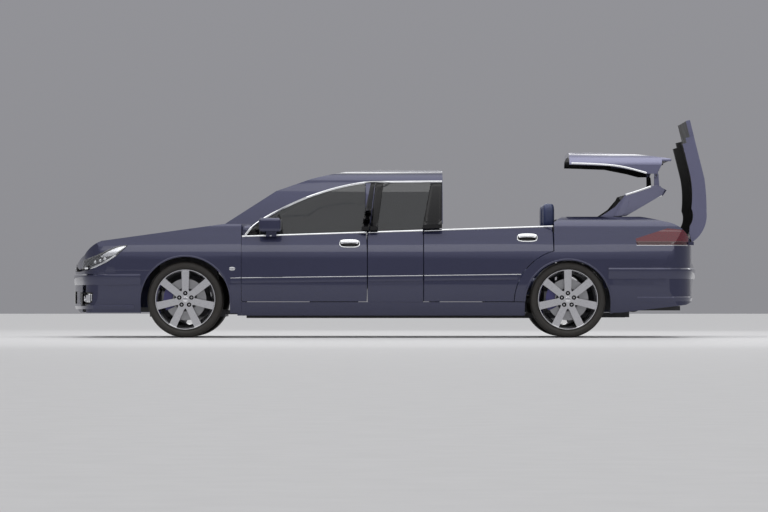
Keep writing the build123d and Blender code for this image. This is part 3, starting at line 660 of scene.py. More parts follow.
def cut_recesses(piece, centre, hand):
    """Cuts the five bolt recesses into the hub's face."""
    for i in range(BOLTS):
        x, y, z = bolt_place(centre, i)
        bpy.ops.mesh.primitive_cylinder_add(vertices=32, radius=RECESS_R, depth=0.036,
                                            location=(x, y + hand * FACE_OUT, z),
                                            rotation=(math.pi / 2, 0, 0))
        cutter = bpy.context.object
        cut = piece.modifiers.new("recess", "BOOLEAN")
        cut.operation = "DIFFERENCE"
        cut.object = cutter
        depsgraph = bpy.context.evaluated_depsgraph_get()
        cut_mesh = bpy.data.meshes.new_from_object(piece.evaluated_get(depsgraph))
        piece.modifiers.remove(cut)
        piece.data = cut_mesh
        bpy.data.objects.remove(cutter)


WHEELS = [("front_left", 0.0, -1), ("front_right", 0.0, 1), ("rear_left", WHEELBASE, -1),
          ("rear_right", WHEELBASE, 1)]
TYRE_R = 0.330
# Profiles hold (radius, distance outwards from the wheel's middle plane) pairs
TREAD = [(TYRE_R - 0.004, 0.100), (TYRE_R - 0.001, 0.088), (TYRE_R, 0.072), (TYRE_R - 0.007, 0.069),
         (TYRE_R - 0.007, 0.061), (TYRE_R, 0.058), (TYRE_R, 0.026), (TYRE_R - 0.007, 0.023),
         (TYRE_R - 0.007, 0.013), (TYRE_R, 0.010), (TYRE_R, 0.0)]
SIDEWALL = [(RIM_R - 0.004, 0.098), (RIM_R + 0.001, 0.109), (RIM_R + 0.006, 0.1105), (RIM_R + 0.009, 0.118),
            (RIM_R + 0.017, 0.1235), (RIM_R + 0.026, 0.125), (RIM_R + 0.036, 0.1245), (RIM_R + 0.044, 0.1225),
            (RIM_R + 0.0445, 0.1195), (RIM_R + 0.051, 0.1165), (RIM_R + 0.056, 0.109)]
BARREL = [(RIM_R - 0.0005, 0.105), (LIP_R + 0.006, 0.1125), (LIP_R, 0.1125), (LIP_R - 0.004, 0.108),
          (LIP_R - 0.009, 0.085), (LIP_R - 0.030, 0.060), (LIP_R - 0.034, -0.02), (LIP_R - 0.012, -0.085),
          (RIM_R - 0.004, -0.107), (RIM_R - 0.0005, -0.105)]
BOLT_PROFILE = [(0.002, 0.1), (0.0075, 0.1), (0.0095, 0.098), (0.0095, 0.088), (0.015, 0.0875)]
RECESS_SHADE_PROFILE = [(0.001, 0.0895), (0.0192, 0.0895)]
CAP_PROFILE = [(0.001, 0.1102), (0.012, 0.1098), (0.021, 0.1088), (0.0235, 0.1068)]
HUB_PROFILE = [(0.074, 0.082), (0.074, 0.03), (0.02, 0.03), (0.02, 0.0)]
DISC_PROFILE = [(0.180, 0.040), (0.180, 0.029), (0.176, 0.029), (0.176, 0.024), (0.180, 0.024),
                (0.180, 0.013), (0.095, 0.013), (0.095, 0.034), (0.102, 0.040)]
HALF_TYRE = SIDEWALL + TREAD
TYRE_PROFILE = HALF_TYRE + [(r, -w) for r, w in HALF_TYRE[-2::-1]]
for name, x, hand in WHEELS:
    body = "wheel_" + name
    centre = (FRONT_X + x, hand * abs(WHEEL_Y), WHEEL_Z)
    tyre = turned("tyre_" + name + "_rubber", TYRE_PROFILE, centre, RUBBER, body, "tyre", hand, segments=120,
                  closed=True, angle=28)
    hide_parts("tyre_" + name)
    rim = turned("rim_" + name + "_barrel", BARREL, centre, POLISHED, body, "wheel_alloy", hand, segments=96,
                 closed=True, angle=40)
    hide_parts("rim_" + name)
    outline = [(centre[0] + p.x, centre[2] + p.y) for p in star_outline()]
    spider = prism("rim_" + name + "_spokes", outline, centre[1] + hand * (FACE_OUT - SPOKE_T),
                   centre[1] + hand * FACE_OUT, ALLOY, body, "wheel_alloy")
    cut_recesses(spider, centre, hand)
    spider.data.polygons.foreach_set("use_smooth", [True] * len(spider.data.polygons))
    edge = spider.modifiers.new("bevel", "BEVEL")
    edge.width = 0.0022
    edge.segments = 2
    edge.limit_method = "ANGLE"
    edge.angle_limit = math.radians(40)
    spider.modifiers.new("normals", "WEIGHTED_NORMAL").keep_sharp = True
    for i in range(BOLTS):
        bolt = bolt_place(centre, i)
        turned(f"bolt_{name}_{i}", BOLT_PROFILE, bolt, POLISHED, body, "wheel_alloy", hand, segments=6,
               angle=20)
        # A gloss black disc on the floor of each bolt recess: painted shade in the hollow round the bolt
        turned(f"recess_{name}_{i}", RECESS_SHADE_PROFILE, bolt, BLACK, body, "wheel_alloy", hand, segments=32)
    turned("cap_" + name, CAP_PROFILE, centre, POLISHED, body, "wheel_alloy", hand, segments=48, angle=20)
    turned("hub_" + name, HUB_PROFILE, centre, DISC_STEEL, body, "chassis_steel", hand, segments=48)
    turned("disc_" + name, DISC_PROFILE, centre, DISC_STEEL, body, "chassis_steel", hand, segments=96,
           closed=True)
print("wheels", len(WHEELS))

# %% [markdown]
# The caliper is a painted block that straddles the disc, ahead of the axle. It stays with the upright, so it
# steers with the wheel in front and is fixed at the back.

# %% Calipers
for name, x, hand in WHEELS:
    body = ("knuckle_" + SIDE_NAME[hand]) if name.startswith("front") else "root"
    centre = Vector((FRONT_X + x, hand * abs(WHEEL_Y), WHEEL_Z))
    outline = []
    for radius, sweep in ((0.192, (150, 210)), (0.112, (213, 147))):
        for k in range(9):
            a = math.radians(sweep[0] + (sweep[1] - sweep[0]) * k / 8)
            outline.append((centre.x + radius * math.cos(a), centre.z + radius * math.sin(a)))
    near, far = sorted((centre.y + hand * 0.0585, centre.y + hand * 0.042))
    prism("caliper_" + name, outline, near, far, CALIPER, body, "cast_metal", bevel=0.004)
print("calipers", len(WHEELS))

# %% [markdown]
# Bright trim runs round the side windows. The upper strip follows the roof rail from the mirror to the end of
# the fixed roof, and the lower one follows the sill to the back of the rear door.

# %% Window surround
UPPER = [(0.52, 0.886), (0.573, 0.957), (0.702, 1.050), (0.918, 1.158), (1.133, 1.2445), (1.348, 1.309),
         (1.563, 1.345), (1.677, 1.3525), (1.95, 1.3555), (2.226, 1.357)]
ROOF_TREE = tree_of("front_roof", "front_glass_left", "front_glass_right", "mid_windows", "front_wings")
CHROME_SECTION = half_round(0.016, 0.006)
upper_path = spaced(rounded_path(UPPER, 2), 0.04)


def nearby(values, i, reach):
    """The values up to reach places before and after place i."""
    return values[max(0, i - reach):i + reach + 1]


for hand in SIDES:
    hits = [on_side(ROOF_TREE, x, z, hand)[0] for x, z in upper_path]
    depths = [max(abs(h.y) for h in nearby(hits, i, 2)) for i in range(len(hits))]
    depths = [sum(nearby(depths, i, 3)) / len(nearby(depths, i, 3)) for i in range(len(hits))]
    path = [Vector((h.x, hand * (d + 0.003), h.z)) for h, d in zip(hits, depths)]
    strip("roof_trim_" + SIDE_NAME[hand], path, [Vector((0, hand, 0))] * len(path), CHROME_SECTION, CHROME,
          "root", "body_paint")
# Panel, x of its front and rear end, whether it is a door
SILL_PARTS = [("door_front_", 0.492, 1.568, True), ("mid_panels", 1.582, 2.057, False),
              ("door_rear_", 2.070, 3.184, True)]
SILL_DROP = 0.007


def panel_and_body(name, hand, is_door):
    """The panel's name on this side, and the body that it moves with."""
    side_panel = name + SIDE_NAME[hand] if is_door else name
    return side_panel, side_panel if is_door else "root"


for hand in SIDES:
    for name, x0, x1, is_door in SILL_PARTS:
        side_panel, body = panel_and_body(name, hand, is_door)
        path = spaced([(x0, belt(x0) - SILL_DROP), (x1, belt(x1) - SILL_DROP)], 0.08)
        side_strip(f"sill_trim_{name}{SIDE_NAME[hand]}", tree_of(side_panel), path, hand,
                   half_round(0.013, 0.006), CHROME, body, "body_paint")
print("window trim done")

# %% [markdown]
# The pillars between the windows are gloss black. The first one is split by the door's shut line: its front
# part swings with the door.

# %% Pillar covers


def side_patch(name, tree, corners, hand, finish, body, slot, lift=0.003, steps=(4, 12), **looks):
    """Thin patch on the side of the car between four (x, z) corners, given round the patch."""
    rows = []
    for i in range(steps[0] + 1):
        u = i / steps[0]
        row = []
        for j in range(steps[1] + 1):
            v = j / steps[1]
            low_edge = [p * (1 - u) + q * u for p, q in zip(corners[0], corners[1])]
            high_edge = [p * (1 - u) + q * u for p, q in zip(corners[3], corners[2])]
            x, z = [p * (1 - v) + q * v for p, q in zip(low_edge, high_edge)]
            row.append(on_side(tree, x, z, hand)[0])
        rows.append(row)
    for row in zip(*rows):
        depth = hand * (max(abs(p.y) for p in row) + lift)
        for p in row:
            p.y = depth
    points, faces = rings_mesh(rows, closed_ring=False)
    return mesh_piece(name, points, faces, finish, body, slot, thick=0.003, **looks)


# Name, the x of the foot's and the top's front and rear edge, rides on the door
COVERS = [("front_pillar_door_", 1.522, 1.590, 1.606, 1.640, True),
          ("front_pillar_body_", 1.596, 1.660, 1.648, 1.716, False),
          ("rear_pillar_", 2.050, 2.222, 2.128, 2.226, False)]
for hand in SIDES:
    for name, foot0, foot1, top0, top1, on_door in COVERS:
        corners = [(foot0, belt(foot0) + 0.008), (foot1, belt(foot1) + 0.008), (top1, 1.346), (top0, 1.344)]
        side_patch(name + SIDE_NAME[hand], ROOF_TREE, corners, hand, BLACK,
                   "door_front_" + SIDE_NAME[hand] if on_door else "root", "grille_black",
                   lift=0.0055 if on_door else 0.004)
print("pillar covers done")

# %% [markdown]
# Each door has a pull handle in a dark bowl with a bright ring. The ring is a rounded outline swept on the
# panel, and the grip bridges it.

# %% Door handles
HANDLE_W, HANDLE_H = 0.170, 0.062
HANDLE_DROP = 0.100
HANDLES = [("door_front_", 1.423), ("door_rear_", 2.960)]


def oval(cx, cz, width, height, count=40, power=3.2):
    """Points of a rounded rectangle round a centre."""
    points = []
    for a in turn_angles(count):
        c, s = math.cos(a), math.sin(a)
        points.append((cx + width / 2 * math.copysign(abs(c) ** (2 / power), c),
                       cz + height / 2 * math.copysign(abs(s) ** (2 / power), s)))
    return points


for hand in SIDES:
    for name, x in HANDLES:
        body = name + SIDE_NAME[hand]
        z = belt(x) - HANDLE_DROP
        tree = tree_of(body)
        path, outs = zip(*[on_side(tree, px, pz, hand) for px, pz in oval(x, z, HANDLE_W, HANDLE_H)])
        strip(f"handle_ring_{body}", list(path), list(outs), half_round(0.010, 0.007), CHROME, body,
              "body_paint", closed=True)
        inner = oval(x, z, HANDLE_W - 0.01, HANDLE_H - 0.01)
        bowl = [[on_side(tree, x + (px - x) * s, z + (pz - z) * s, hand)[0] + Vector((0, hand * 0.0015, 0))
                 for px, pz in inner] for s in (1.0, 0.6, 0.2)]
        points, faces = rings_mesh(bowl, caps=False)
        faces.append(tuple(2 * len(inner) + j for j in range(len(inner))))
        mesh_piece(f"handle_bowl_{body}", points, faces, BLACK, body, "grille_black", thick=0.001)
        grip = [(x - HANDLE_W * 0.44, z + 0.010), (x - HANDLE_W * 0.3, z + 0.014),
                (x + HANDLE_W * 0.3, z + 0.014), (x + HANDLE_W * 0.44, z + 0.008)]
        path, outs = [], []
        for px, pz in spaced(grip, 0.02):
            point, normal = on_side(tree, px, pz, hand)
            bulge = 0.012 + 0.012 * math.sin(math.pi * (px - x + HANDLE_W / 2) / HANDLE_W)
            path.append(point + normal * bulge)
            outs.append(normal)
        section = [(0.017 * math.cos(a), 0.006 * math.sin(a)) for a in turn_angles(14)]
        strip(f"handle_grip_{body}", path, outs, section, CHROME, body, "body_paint")
print("handles done")

# %% [markdown]
# A rub strip runs along the side at knee height: a painted moulding with a bright line on its top edge. Each
# panel has its own length of it, so that the doors can open.

# %% Rub strips
RUB_X, RUB_Z, RUB_SLOPE, RUB_DROP = 0.385, 0.516, 0.0125, 0.022
RUB_SECTION = [(-0.024, -0.002), (-0.024, 0.004), (-0.018, 0.0075), (0.018, 0.0075), (0.024, 0.004),
               (0.024, -0.002)]
# Panel, x of its front and rear end, whether it is a door
RUB_PARTS = [("front_wings", 0.392, 0.482, False), ("door_front_", 0.490, 1.570, True),
             ("mid_panels", 1.582, 2.057, False), ("door_rear_", 2.069, 2.905, True)]


def rub_z(x):
    """Height of the bright line on the rub strip."""
    return RUB_Z + RUB_SLOPE * (x - RUB_X)


for hand in SIDES:
    for name, x0, x1, is_door in RUB_PARTS:
        side_panel, body = panel_and_body(name, hand, is_door)
        tree = tree_of(side_panel)
        path = spaced([(x0, rub_z(x0) - RUB_DROP), (x1, rub_z(x1) - RUB_DROP)], 0.06)
        side_strip(f"rub_strip_{name}{SIDE_NAME[hand]}", tree, path, hand, RUB_SECTION, PAINT, body,
                   "body_paint", bevel=0.001)
        path = spaced([(x0, rub_z(x0)), (x1, rub_z(x1))], 0.06)
        side_strip(f"rub_line_{name}{SIDE_NAME[hand]}", tree, path, hand, half_round(0.006, 0.0035), CHROME,
                   body, "body_paint", lift=0.0065)
print("rub strips done")

# %% [markdown]
# Lamps, grille and mouldings lie on the curved nose and tail. A band is a skin between an upper and a lower
# line of (x, z) points, and a wrap follows the bumper round the corner at one height.

# %% Bands and wraps


def resample(points, count):
    """The same line with count points at even steps."""
    fine = spaced(points, 0.004)
    return [fine[round(k * (len(fine) - 1) / (count - 1))] for k in range(count)]


def band(name, tree, top, low, hand, finish, body, slot, lift=0.002, count=20, rows=6, thick=0.0015, **looks):
    """Skin on the side of the car between an upper and a lower line."""
    top, low = resample(top, count), resample(low, count)
    skin = []
    for i in range(rows + 1):
        u = i / rows
        row = []
        for (x0, z0), (x1, z1) in zip(top, low):
            point, normal = on_side(tree, x0 + (x1 - x0) * u, z0 + (z1 - z0) * u, hand)
            row.append(point + normal * lift)
        skin.append(row)
    points, faces = rings_mesh(skin, closed_ring=False)
    return mesh_piece(name, points, faces, finish, body, slot, thick=thick, **looks)


def wrap(tree, from_x, end_x, z, forward, count=64):
    """Points and outward directions round a bumper at one height, with a section's first axis upwards."""
    reach = math.atan2(0.88, abs(end_x - from_x))
    path, outs = [], []
    for k in range(count + 1):
        a = (-reach + 2 * reach * k / count) * (1 if forward else -1)
        ahead = Vector(((-1 if forward else 1) * math.cos(a), math.sin(a), 0))
        point, normal, _, _ = tree.ray_cast(at(from_x, 0, z) + ahead * 3.0, -ahead)
        if point is not None:
            path.append(point)
            outs.append(Vector((normal.x, normal.y, 0)).normalized())
    return path, outs


print("bands ready")

# %% [markdown]
# The bumpers carry a raised moulding with a crease that catches the light, and a second one near the road.

# %% Bumper mouldings
FRONT_TREE = tree_of("front_bumper", "grille", "front_wings", "headlamps", "fog_lamps", "bonnet")
REAR_TREE = tree_of("rear_bumper", "rear_quarters", "rear_panel", "tail_lamps")
MOULDING = [(-0.083, -0.004), (-0.083, 0.004), (-0.077, 0.007), (-0.008, 0.015), (0.0, 0.014), (0.012, 0.0),
            (0.012, -0.004)]
CREASE = [(-0.03, -0.004), (-0.03, 0.001), (-0.002, 0.009), (0.003, 0.008), (0.011, 0.0), (0.011, -0.004)]
# Name, tree, where the rays start, where the moulding ends, height, section
MOULDINGS = [("front_moulding", FRONT_TREE, -0.1, -0.375, 0.539, MOULDING),
             ("front_crease", FRONT_TREE, -0.1, -0.45, 0.276, CREASE),
             ("front_seam", FRONT_TREE, -0.1, -0.30, 0.582, half_round(0.005, 0.002)),
             ("rear_moulding", REAR_TREE, 3.5, 3.655, 0.592, MOULDING),
             ("rear_crease", REAR_TREE, 3.5, 3.90, 0.345, CREASE)]
for name, tree, from_x, end_x, z, section in MOULDINGS:
    path, outs = wrap(tree, from_x, end_x, z, forward=name.startswith("front"))
    strip(name, path, outs, section, PAINT, "root", "body_paint", angle=20)
print("mouldings", len(MOULDINGS))

# %% [markdown]
# A headlamp is a slim, swept lens: a dark bowl, a bright reflector at its tip, a bright line along its lower
# edge and three small lamps between them.

# %% Headlamps
LAMP_TOP = [(-0.877, 0.673), (-0.807, 0.699), (-0.738, 0.726), (-0.66, 0.763), (-0.581, 0.791),
            (-0.507, 0.8)]
LAMP_LOW = [(-0.907, 0.589), (-0.833, 0.591), (-0.755, 0.616), (-0.677, 0.65), (-0.59, 0.711),
            (-0.504, 0.793)]
TIP_TOP = [(-0.732, 0.702), (-0.685, 0.734), (-0.632, 0.76), (-0.572, 0.783), (-0.516, 0.793)]
TIP_LOW = [(-0.719, 0.695), (-0.667, 0.702), (-0.615, 0.713), (-0.567, 0.747), (-0.512, 0.787)]
LAMP_LINE = [(-0.868, 0.597), (-0.816, 0.601), (-0.764, 0.619), (-0.712, 0.644), (-0.66, 0.673),
             (-0.60, 0.712)]
SMALL_LAMPS = [(-0.775, 0.655), (-0.732, 0.668), (-0.694, 0.681)]
panel("headlamps", "root")
for hand in SIDES:
    side = SIDE_NAME[hand]
    band("lamp_bowl_" + side, FRONT_TREE, LAMP_TOP, LAMP_LOW, hand, BLACK, "root", "grille_black", lift=0.001)
    band("lamp_tip_" + side, FRONT_TREE, TIP_TOP, TIP_LOW, hand, REFLECTOR, "root", "cast_metal", lift=0.003)
    path, outs = zip(*[on_side(FRONT_TREE, x, z, hand) for x, z in resample(LAMP_LINE, 24)])
    strip("lamp_line_" + side, [p + n * 0.002 for p, n in zip(path, outs)], outs, half_round(0.013, 0.003),
          REFLECTOR, "root", "cast_metal")
    for k, (x, z) in enumerate(SMALL_LAMPS):
        point, normal = on_side(FRONT_TREE, x, z, hand)
        turned(f"small_lamp_{side}_{k}", [(0.001, 0.005), (0.009, 0.0045), (0.014, 0.002), (0.015, 0.0)],
               point, REFLECTOR, "root", "cast_metal", hand, segments=24)
    band("lamp_lens_" + side, FRONT_TREE, LAMP_TOP, LAMP_LOW, hand, CLEAR, "root", "lamp_clear", lift=0.009)
print("headlamps done")

# %% [markdown]
# The fog lamp sits in the bumper's corner, in a dark bezel. Between the lamps lie the grille's bars, the
# lower intake's slats and a blank number plate.

# %% Nose details
FOG_TOP = [(-0.925, 0.391), (-0.86, 0.393), (-0.802, 0.389)]
FOG_LOW = [(-0.915, 0.275), (-0.865, 0.281), (-0.808, 0.305)]
# x of the front and rear edge, z of the top and the foot
FOG_GLASSES = [(-0.888, -0.822, 0.378, 0.300), (-0.816, -0.808, 0.375, 0.315)]
for hand in SIDES:
    side = SIDE_NAME[hand]
    band("fog_bezel_" + side, FRONT_TREE, FOG_TOP, FOG_LOW, hand, BLACK, "root", "grille_black", lift=0.001)
    for k, (x0, x1, z0, z1) in enumerate(FOG_GLASSES):
        band(f"fog_glass_{side}_{k}", FRONT_TREE, [(x0, z0), (x1, z0)], [(x0 + 0.003, z1), (x1, z1 + 0.005)],
             hand, REFLECTOR, "root", "cast_metal", lift=0.003, count=8)


def on_front(tree, y, z):
    """Point and direction on the car's front at y and z."""
    point, normal, _, _ = tree.ray_cast(Vector((CAD_LOW.x - 1, y, z)), Vector((1, 0, 0)))
    return point, normal


for k in range(5):
    z = 0.604 + 0.024 * k
    half = 0.36 + 0.006 * k
    hits = [on_front(FRONT_TREE, -half + 2 * half * j / 24, z) for j in range(25)]
    hits = [h for h in hits if h[0] is not None]
    path, outs = [h[0] for h in hits], [h[1] for h in hits]
    strip(f"grille_bar_{k}", path, outs, half_round(0.008, 0.008), CHROME if k in (0, 4) else BLACK, "root",
          "grille_black")
rounded_box("intake_back", at(-0.930, -0.428, 0.292), at(-0.922, 0.428, 0.398), PLASTIC, "root",
            "grille_black", bevel=0.002)
for k in range(3):
    z = 0.315 + 0.028 * k
    rounded_box(f"intake_slat_{k}", at(-0.968, -0.426, z), at(-0.93, 0.426, z + 0.007), BLACK, "root",
                "grille_black", bevel=0.002)
PLATE_HALF = 0.26
rounded_box("front_plate", at(-0.996, -PLATE_HALF, 0.293), at(-0.990, PLATE_HALF, 0.403), PLATE, "root",
            "trim", bevel=0.002)
rounded_box("front_plate_bracket", at(-0.991, -0.2, 0.33), at(-0.93, 0.2, 0.36), PLASTIC, "root", "trim",
            bevel=0.002)
print("nose done")

# %% [markdown]
# A tail lamp is one red lens with a darker lower part and a bright line below it.

# %% Tail lamps and plate
for hand in SIDES:
    side = SIDE_NAME[hand]
    band("tail_lower_" + side, REAR_TREE, [(3.897, 0.832), (4.36, 0.832)], [(3.912, 0.806), (4.36, 0.806)],
         hand, DEEP_RED, "root", "lamp_red", lift=0.002, count=24)
    path = resample([(3.905, 0.799), (4.355, 0.799)], 24)
    path, outs = zip(*[on_side(REAR_TREE, x, z, hand) for x, z in path])
    strip("tail_line_" + side, list(path), list(outs), half_round(0.006, 0.004), CHROME, "root", "body_paint")
TAIL_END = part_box("rear_panel")[1].x
rounded_box("rear_plate", Vector((TAIL_END - 0.004, -PLATE_HALF, 0.66)),
            Vector((TAIL_END + 0.004, PLATE_HALF, 0.77)), PLATE, "root", "trim", bevel=0.002)
print("tail done")

# %% [markdown]
# Small lamps and lips on the wings: a repeater, and a rolled lip round each wheel arch.

# %% Wing details
WING_TREE = tree_of("front_wings", "front_bumper", "rear_quarters", "rear_bumper", "sills", "door_rear_left",
                    "door_rear_right")
REPEATER_X, REPEATER_Z = 0.407, 0.596
# End of the car, centre of the arch, its radius, angles where it starts and ends
ARCHES = [("front", 0.0, 0.313, 0.394, -4, 184), ("rear", WHEELBASE, 0.301, 0.376, 2, 178)]
for hand in SIDES:
    side = SIDE_NAME[hand]
    x, z = REPEATER_X, REPEATER_Z
    hits = [on_side(WING_TREE, px, pz, hand) for px, pz in oval(x, z, 0.05, 0.029, power=2.2)]
    strip("repeater_" + side, [h[0] for h in hits], [h[1] for h in hits], half_round(0.004, 0.004), CHROME,
          "root", "body_paint", closed=True)
    band("repeater_lens_" + side, WING_TREE, [(x - 0.02, z + 0.010), (x + 0.02, z + 0.010)],
         [(x - 0.02, z - 0.010), (x + 0.02, z - 0.010)], hand, REFLECTOR, "root", "lamp_clear", lift=0.003,
         count=8)
    for name, centre_x, centre_z, radius, start, end in ARCHES:
        points = [(centre_x + radius * math.cos(a), centre_z + radius * math.sin(a))
                  for a in [math.radians(start + (end - start) * k / 48) for k in range(49)]]
        path, outs = [], []
        for px, pz in points:
            point, normal = on_side(WING_TREE, px, pz, hand, default=0.0)
            if abs(point.y) > 0.6:
                path.append(point)
                outs.append(Vector((0, hand, 0)))
        strip(f"arch_lip_{name}_{side}", path, outs, half_round(0.014, 0.005), PAINT, "root", "body_paint")
print("wing details done")

# %% [markdown]
# The corner between the wing, the door and the windscreen pillar is closed by a painted plate. The mirror's
# glass and the small window's bar belong to the door.

# %% Mirror corner
SAIL = [(0.480, 0.858, 0.887), (0.526, 0.858, 0.889), (0.606, 0.820, 0.985), (0.480, 0.820, 0.985)]
CORNER = [(0.520, 0.852, 0.889), (0.640, 0.852, 0.892), (0.640, 0.812, 0.995), (0.600, 0.812, 0.985)]
QUARTER_BAR = [(0.809, 1.068), (0.826, 1.0), (0.840, 0.900)]
MIRROR_Y = 0.955
for hand in SIDES:
    side = SIDE_NAME[hand]
    for name, plate, finish in (("sail_", SAIL, PAINT), ("corner_", CORNER, BLACK)):
        points = [at(x, hand * y, z) for x, y, z in plate]
        mesh_piece(name + side, points, [(0, 1, 2, 3)], finish, "root", "body_paint", thick=0.004)
    body = "door_front_" + side
    rounded_box("mirror_glass_" + side, at(0.829, hand * MIRROR_Y - 0.062, 0.93),
                at(0.833, hand * MIRROR_Y + 0.062, 1.02), CHROME, body, "glass", bevel=0.002)
    glass = tree_of("front_glass_" + side)
    side_strip("quarter_bar_" + side, glass, spaced(QUARTER_BAR, 0.02), hand, half_round(0.02, 0.006), BLACK,
               body, "grille_black")
print("mirror corner done")

# %% [markdown]
# The raised roof has the other half of the window trim: a bright strip along the panel's lower edge, and a
# hook of the same strip on the pillar, where it met the rear door's window.

# %% Raised roof trim
PANEL_LINE = [(3.33, 1.517), (3.514, 1.512), (3.688, 1.502), (3.802, 1.486), (3.889, 1.464), (3.993, 1.436),
              (4.06, 1.414)]
PILLAR_LINE = [(3.767, 1.256), (3.775, 1.238), (3.80, 1.233), (3.91, 1.266), (4.055, 1.318)]
ROOF_TRIMS = [("panel_trim_", tree_of("roof_panel"), PANEL_LINE, "roof_panel"),
              ("pillar_trim_", tree_of("rear_shell"), PILLAR_LINE, "rear_shell")]
for hand in SIDES:
    side = SIDE_NAME[hand]
    for name, tree, line, body in ROOF_TRIMS:
        hits = [on_side(tree, x, z, hand) for x, z in resample(rounded_path(line, 2), 30)]
        hits = [h for h in hits if abs(h[0].y) < 0.895]
        path = [h[0] + Vector((0, hand * 0.002, 0)) for h in hits]
        strip(name + side, path, [Vector((0, hand, 0)) for _ in path], half_round(0.015, 0.006), CHROME, body,
              "body_paint")
print("roof trim done")

# %% [markdown]
# Seats are padded: each cushion is a crowned closed form with sewn channels. The forms are superellipsoids,
# so their sides pull in a little towards the corners.

# %% Cushions


def signed_power(value, power):
    """value to a power, with its sign kept."""
    return math.copysign(abs(value) ** power, value)


def cushion(name, low, high, body, channels=0, axis=1, place=None, power=0.32):
    """Padded form between two corners, with channels across one axis."""
    centre = [(a + b) / 2 for a, b in zip(low, high)]
    half = [(b - a) / 2 for a, b in zip(low, high)]
    rings = []
    for i in range(1, 28):
        p = -math.pi / 2 + math.pi * i / 28
        ring = []
        for t in turn_angles(56):
            unit = [signed_power(math.cos(p), power) * signed_power(math.cos(t), power),
                    signed_power(math.cos(p), power) * signed_power(math.sin(t), power),
                    signed_power(math.sin(p), power)]
            if channels:
                u = (unit[axis] + 1) / 2 * channels
                groove = math.exp(-((u - round(u)) / 0.09) ** 2) if 0 < round(u) < channels else 0.0
                unit = [v * (1 - 0.035 * groove) if k != axis else v for k, v in enumerate(unit)]
            ring.append(Vector([c + h * v for c, h, v in zip(centre, half, unit)]))
        rings.append(ring)
    points, faces = rings_mesh(rings)
    if place is not None:
        points = [place @ p for p in points]
    piece = mesh_piece(name, points, faces, LEATHER, body, "leather", angle=60)
    return piece


BASE_Z, SEAT_Y = 0.245, 0.37
for hand in SIDES:
    side, y = SIDE_NAME[hand], hand * SEAT_Y
    base = cushion("seat_base_" + side, at(1.01, y - 0.25, BASE_Z + 0.09), at(1.55, y + 0.25, BASE_Z + 0.25),
                   "root", channels=5, axis=0)
    lean = Matrix.Translation(at(1.51, y, BASE_Z + 0.16)) @ Matrix.Rotation(math.radians(12), 4, "Y")
    cushion("seat_back_" + side, (-0.06, -0.25, 0.0), (0.06, 0.25, 0.455), "root", channels=6, axis=2,
            place=lean)
    cushion("seat_head_" + side, (-0.04, -0.13, 0.43), (0.04, 0.13, 0.60), "root", place=lean, power=0.5)
    rounded_box("seat_frame_" + side, at(1.07, y - 0.19, BASE_Z), at(1.49, y + 0.19, BASE_Z + 0.12), PLASTIC,
                "root", "dash_plastic", bevel=0.01)
    if hand == -1:
        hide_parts("front_seats")
bench = cushion("bench_base", at(2.56, -0.59, 0.36), at(3.12, 0.59, 0.52), "root", channels=10, axis=1)
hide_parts("rear_seat")
rounded_box("bench_plinth", at(2.60, -0.56, BASE_Z), at(2.96, 0.56, 0.40), CARPET, "root", "trim", bevel=0.01)
cushion("bench_back", at(3.06, -0.59, 0.43), at(3.22, 0.59, 0.935), "root", channels=10, axis=1)
for hand in SIDES:
    side, y = SIDE_NAME[hand], hand * SEAT_Y
    cushion("bench_head_" + side, at(3.11, y - 0.13, 0.955), at(3.21, y + 0.13, 1.17), "root", power=0.45)
    rounded_box("head_post_" + side, at(3.145, y - 0.06, 0.90), at(3.175, y + 0.06, 0.98), CHROME, "root",
                "trim", bevel=0.006)
rounded_box("armrest", at(2.72, -0.09, 0.50), at(3.08, 0.09, 0.60), LEATHER, "root", "leather", bevel=0.03)
print("seats done")

# %% [markdown]
# The cabins are parted by a trimmed wall with a dark glass pane above it.

# %% Partition
low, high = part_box("partition")
wall = rounded_box("partition_wall", Vector((low.x, low.y + 0.06, low.z)),
                   Vector((low.x + 0.045, high.y - 0.06, 0.94)), LEATHER, "root", "leather", bevel=0.008)
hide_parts("partition")
pane = [at(2.176, y, z) for y, z in ((-0.69, 0.94), (0.69, 0.94), (0.66, 1.12), (0.58, 1.34), (0.4, 1.39),
                                     (-0.4, 1.39), (-0.58, 1.34), (-0.66, 1.12))]
mesh_piece("partition_pane", pane, [tuple(range(8))], DARK_GLASS, "root", "glass", thick=0.01)
print("partition done")

# %% [markdown]
# The studio has a pale floor, a large soft light above and a long strip along the side. The sky is grey and
# darkens towards the horizon, so that the paint shows a horizon as in the picture.

# %% Studio
FLOOR = grained("studio_floor", (0.62, 0.62, 0.63), 0.55, size=40, variation=0.03, bump=0.02)
FLOOR_SIZE, FLOOR_DROP = 120, 0.0005
bpy.ops.mesh.primitive_plane_add(size=FLOOR_SIZE, location=(0, 0, CAD_LOW.z - FLOOR_DROP))
floor = bpy.context.object
floor.name = "studio_floor"
floor.data.materials.append(FLOOR)

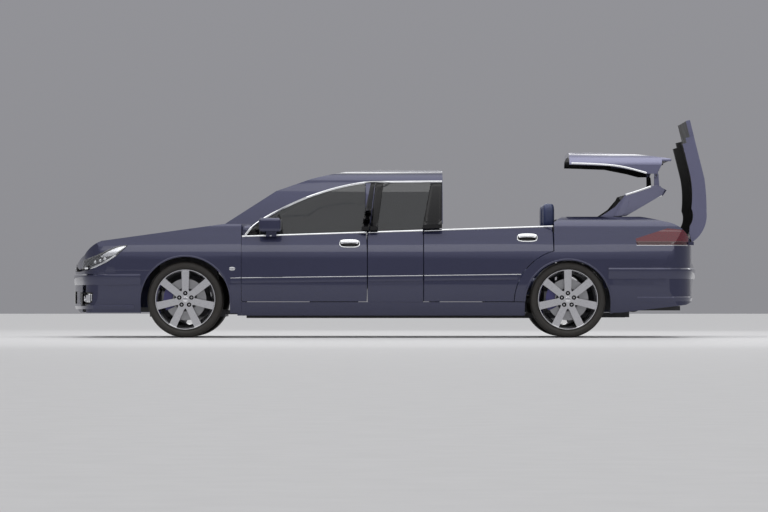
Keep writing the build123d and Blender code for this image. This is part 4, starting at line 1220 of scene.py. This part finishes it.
world = bpy.data.worlds.new("studio")
bpy.context.scene.world = world
world.use_nodes = True
sky = world.node_tree
direction = node(sky, "ShaderNodeTexCoord")
height = node(sky, "ShaderNodeSeparateXYZ")
link(sky, direction.outputs["Generated"], height.inputs[0])
fade = node(sky, "ShaderNodeValToRGB")
fade.color_ramp.elements[0].position = 0.0
fade.color_ramp.elements[0].color = (0.30, 0.30, 0.32, 1)
fade.color_ramp.elements[1].position = 0.5
fade.color_ramp.elements[1].color = (1.0, 1.0, 1.0, 1)
middle = fade.color_ramp.elements.new(0.2)
middle.color = (0.36, 0.36, 0.39, 1)
link(sky, height.outputs["Z"], fade.inputs[0])
link(sky, fade.outputs[0], sky.nodes["Background"].inputs["Color"])
sky.nodes["Background"].inputs["Strength"].default_value = 0.9


def soft_light(name, place, target, size, power):
    """Area lamp that points at a target."""
    lamp = bpy.data.lights.new(name, "AREA")
    lamp.shape = "RECTANGLE"
    lamp.size, lamp.size_y = size
    lamp.energy = power
    holder = bpy.data.objects.new(name, lamp)
    bpy.context.scene.collection.objects.link(holder)
    holder.location = place
    holder.rotation_euler = (Vector(target) - Vector(place)).to_track_quat("-Z", "Y").to_euler()
    return holder


soft_light("overhead", (0, -1.5, 5.5), (0, 0, 0.6), (9, 4), 130)
soft_light("side_strip", (0, -8.0, 4.2), (0, 0, 0.7), (11, 1.4), 60)
soft_light("far_side", (1.5, 7.0, 4.0), (0, 0, 0.8), (9, 2), 70)
print("studio ready")

# %% [markdown]
# The picture is a side view from far away, with the lens at wing height. A long lens from 40 m keeps the near
# and the far side almost the same size.

# %% Camera
CAMERA_FAR, VIEW_WIDTH, CAMERA_Z, VIEW_CENTRE_X = 40.0, 6.641, 0.343, 1.720
NEAR_SIDE_Y, FRAMING_SHIFT = -0.915, 0.0547
camera_data = bpy.data.cameras.new("camera")
camera = bpy.data.objects.new("camera", camera_data)
bpy.context.scene.collection.objects.link(camera)
camera.location = at(VIEW_CENTRE_X, NEAR_SIDE_Y - CAMERA_FAR, CAMERA_Z)
camera.rotation_euler = (math.pi / 2, 0, 0)
camera_data.sensor_width = 36.0
camera_data.lens = camera_data.sensor_width * CAMERA_FAR / VIEW_WIDTH
camera_data.shift_y = FRAMING_SHIFT
camera_data.clip_end = 200
bpy.context.scene.camera = camera
print("lens", round(camera_data.lens, 1))

# %% [markdown]
# Colours are shown as they are, and the number of pieces made is printed.

# %% Finish
bpy.context.scene.view_settings.view_transform = "Standard"
print("pieces", len(MADE))
